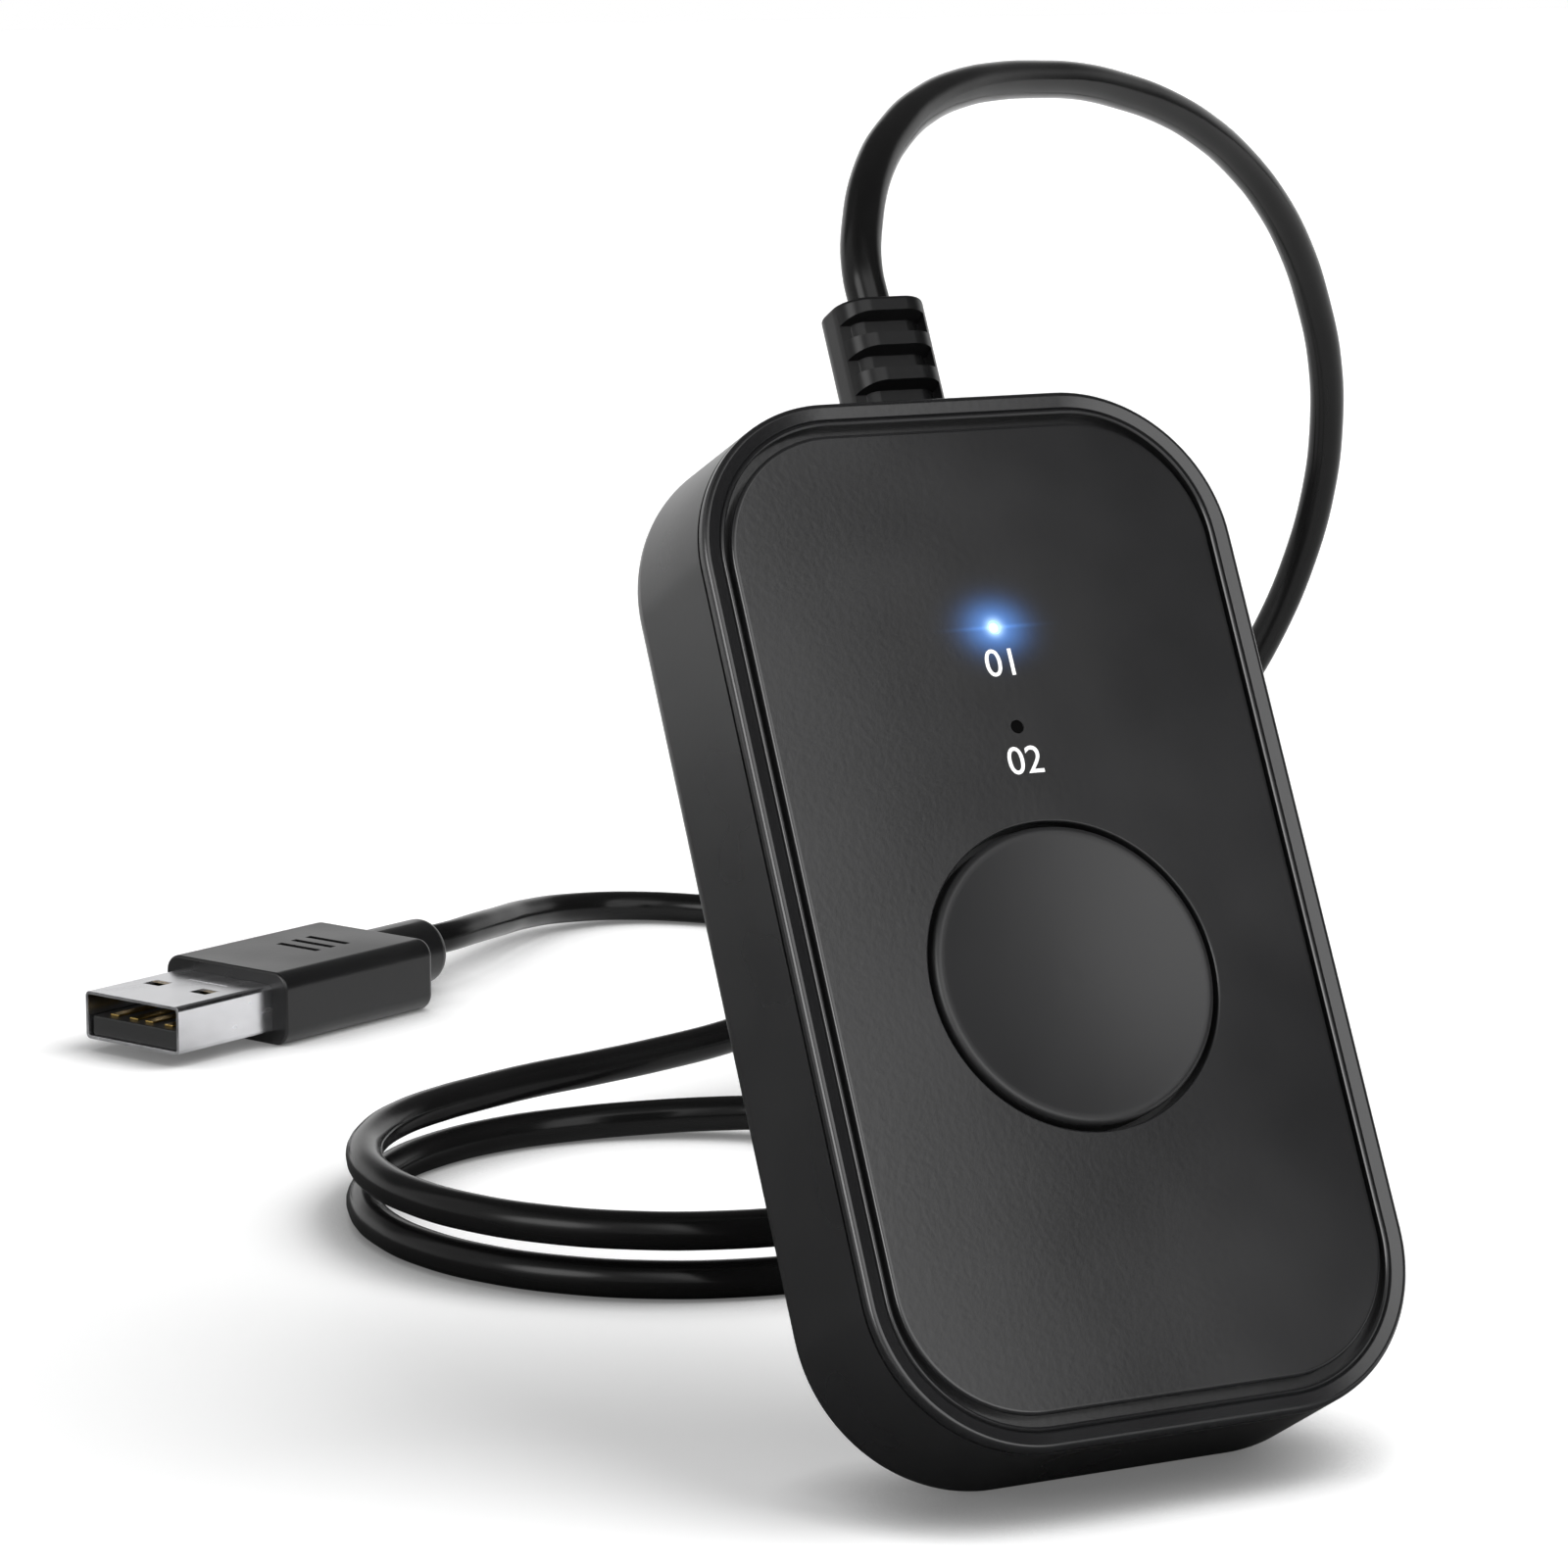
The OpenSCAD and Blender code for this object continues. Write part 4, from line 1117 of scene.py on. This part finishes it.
def studio_world():
    """White to the camera; to the object a lamp ahead, a bright back and a strip at the left."""
    world = bpy.data.worlds.new("White studio")
    world.use_nodes = True
    nodes, links = world.node_tree.nodes, world.node_tree.links
    coords = nodes.new("ShaderNodeTexCoord")

    def towards(axis, low, high, to_low, to_high):
        """A smooth step of brightness along a direction."""
        dot = nodes.new("ShaderNodeVectorMath")
        dot.operation = "DOT_PRODUCT"
        dot.inputs[1].default_value = Vector(axis).normalized()
        links.new(coords.outputs["Generated"], dot.inputs[0])
        return smooth_step(nodes, links, dot.outputs["Value"], low, high, to_low, to_high)

    def both(operation, a, b):
        return maths(nodes, links, operation, a, b)

    # A wide lamp ahead of the face, cut off at its right so that the panel darkens to the right
    edge = math.radians(33.5)
    front = towards((math.cos(edge), math.sin(edge), -0.2), -0.15, -0.082, 3.0, 0.02)
    front = both("MULTIPLY", front, towards((0, 0, 1), 0.68, 0.92, 1.0, 0.15))
    front = both("MULTIPLY", front, towards((0.226, -0.76, 0.61), 0.62, 0.85, 0.27, 1.0))
    back = towards((0, 1, 0), 0.0, 0.35, 0.0, 1.0)
    back = both("MULTIPLY", back, towards((0, 0, 1), 0.2, 0.45, 1.0, 0.1))
    strip = towards((-0.867, -0.279, 0.411), 0.94, 0.985, 0.0, 7.0)
    light = both("MAXIMUM", both("MAXIMUM", front, back), strip)
    # The lamp of the stage lights what is matt, so the surroundings give it only a little
    path = nodes.new("ShaderNodeLightPath")
    dimmed = both("SUBTRACT", both("MULTIPLY", path.outputs["Is Diffuse Ray"], -0.84), -1.0)
    light = both("MULTIPLY", light, dimmed)
    seen = both("MAXIMUM", path.outputs["Is Camera Ray"], path.outputs["Is Transmission Ray"])
    background = nodes["Background"]
    background.inputs["Color"].default_value = (1, 1, 1, 1)
    links.new(either(nodes, links, seen, light, 1.0), background.inputs["Strength"])
    return world


def floor_finish():
    """The white floor: a painted contact shadow where something stands close, a painted shade seen
    in its reflections at the left of the case and behind it, and lifted a little for the camera.
    """
    material, nodes, links, shader = new_material("White floor")
    shader.inputs["Roughness"].default_value = 0.6
    path = nodes.new("ShaderNodeLightPath")
    coords = nodes.new("ShaderNodeTexCoord")
    # Painted reflected shade: reflections see the desk dark near the case and light farther off
    reflected_shade_map = nodes.new("ShaderNodeMapping")
    reflected_shade_map.vector_type = "TEXTURE"
    reflected_shade_map.inputs["Location"].default_value = REFLECTED_SHADE_AT
    reflected_shade_map.inputs["Rotation"].default_value = (0, 0, REFLECTED_SHADE_TURN)
    reflected_shade_map.inputs["Scale"].default_value = REFLECTED_SHADE_SIZE
    links.new(coords.outputs["Object"], reflected_shade_map.inputs["Vector"])
    away = nodes.new("ShaderNodeVectorMath")
    away.operation = "LENGTH"
    links.new(reflected_shade_map.outputs["Vector"], away.inputs[0])
    reflected_shade = smooth_step(nodes, links, away.outputs["Value"], 1.0, 1.55, 0.03, 0.95)
    # Painted contact shadow: the floor's colour, and with it the floor's glow for the camera,
    # darken where something stands near
    close = nodes.new("ShaderNodeAmbientOcclusion")
    close.samples = 4
    close.inputs["Distance"].default_value = PAINTED_SHADOW_REACH
    plain = smooth_step(nodes, links, close.outputs["AO"], 0.3, 1.0, 0.22, 0.74)
    white = either(nodes, links, path.outputs["Is Glossy Ray"], plain, reflected_shade)
    links.new(white, shader.inputs["Base Color"])
    lift = maths(nodes, links, "MULTIPLY_ADD", path.outputs["Is Camera Ray"], 0.5, 0.07)
    shader.inputs["Emission Color"].default_value = (1, 1, 1, 1)
    links.new(maths(nodes, links, "MULTIPLY", white, lift), shader.inputs["Emission Strength"])
    return material


class JIGGLER_OT_stage(bpy.types.Operator):
    """Adds the white floor, the white surroundings and the soft lamp"""

    bl_idname = "jiggler.stage"
    bl_label = "Stage"

    def execute(self, context):
        select_none()
        bpy.ops.mesh.primitive_plane_add(size=FLOOR_SIZE, location=(0, 0, 0))
        floor = context.object
        floor.name = "floor"
        floor.data.materials.append(floor_finish())
        context.scene.world = studio_world()

        # The lamp stands above and at the right, so the case's shadow falls to its left
        bpy.ops.object.light_add(type="SUN", location=SUN_FROM)
        light = context.object
        light.name = "Soft light"
        light.data.energy = SUN_STRENGTH
        light.data.angle = SUN_ANGLE
        light.rotation_euler = SUN_FROM.to_track_quat("Z", "Y").to_euler()
        light.visible_glossy = False
        context.scene.view_settings.view_transform = "Standard"
        return {"FINISHED"}


class JIGGLER_PT_panel(bpy.types.Panel):
    """Lists the sizes, the colours and the steps"""

    bl_idname = "JIGGLER_PT_panel"
    bl_label = "Mouse jiggler"
    bl_space_type = "VIEW_3D"
    bl_region_type = "UI"
    bl_category = "Jiggler"

    def draw(self, context):
        layout = self.layout
        for group in (context.scene.jiggler_sizes, context.scene.jiggler_colours):
            for name in group.__annotations__:
                layout.prop(group, name)
        for operator in OPERATORS:
            layout.operator(operator.bl_idname)


OPERATORS = (
    JIGGLER_OT_camera,
    JIGGLER_OT_cord,
    JIGGLER_OT_case,
    JIGGLER_OT_rim,
    JIGGLER_OT_panel,
    JIGGLER_OT_button,
    JIGGLER_OT_strain_relief,
    JIGGLER_OT_feet,
    JIGGLER_OT_plug,
    JIGGLER_OT_lamps,
    JIGGLER_OT_insides,
    JIGGLER_OT_stage,
)
CLASSES = (JigglerSizes, JigglerColours, *OPERATORS, JIGGLER_PT_panel)


def register():
    """Registers the classes and the scene's properties."""
    for cls in CLASSES:
        bpy.utils.register_class(cls)
    bpy.types.Scene.jiggler_sizes = bpy.props.PointerProperty(type=JigglerSizes)
    bpy.types.Scene.jiggler_colours = bpy.props.PointerProperty(type=JigglerColours)


def unregister():
    """Takes them out again."""
    del bpy.types.Scene.jiggler_colours
    del bpy.types.Scene.jiggler_sizes
    for cls in reversed(CLASSES):
        bpy.utils.unregister_class(cls)


def main():
    """Builds everything in order."""
    register()
    for operator in OPERATORS:
        getattr(bpy.ops.jiggler, operator.bl_idname.split(".")[1])()


if __name__ == "__main__":
    main()
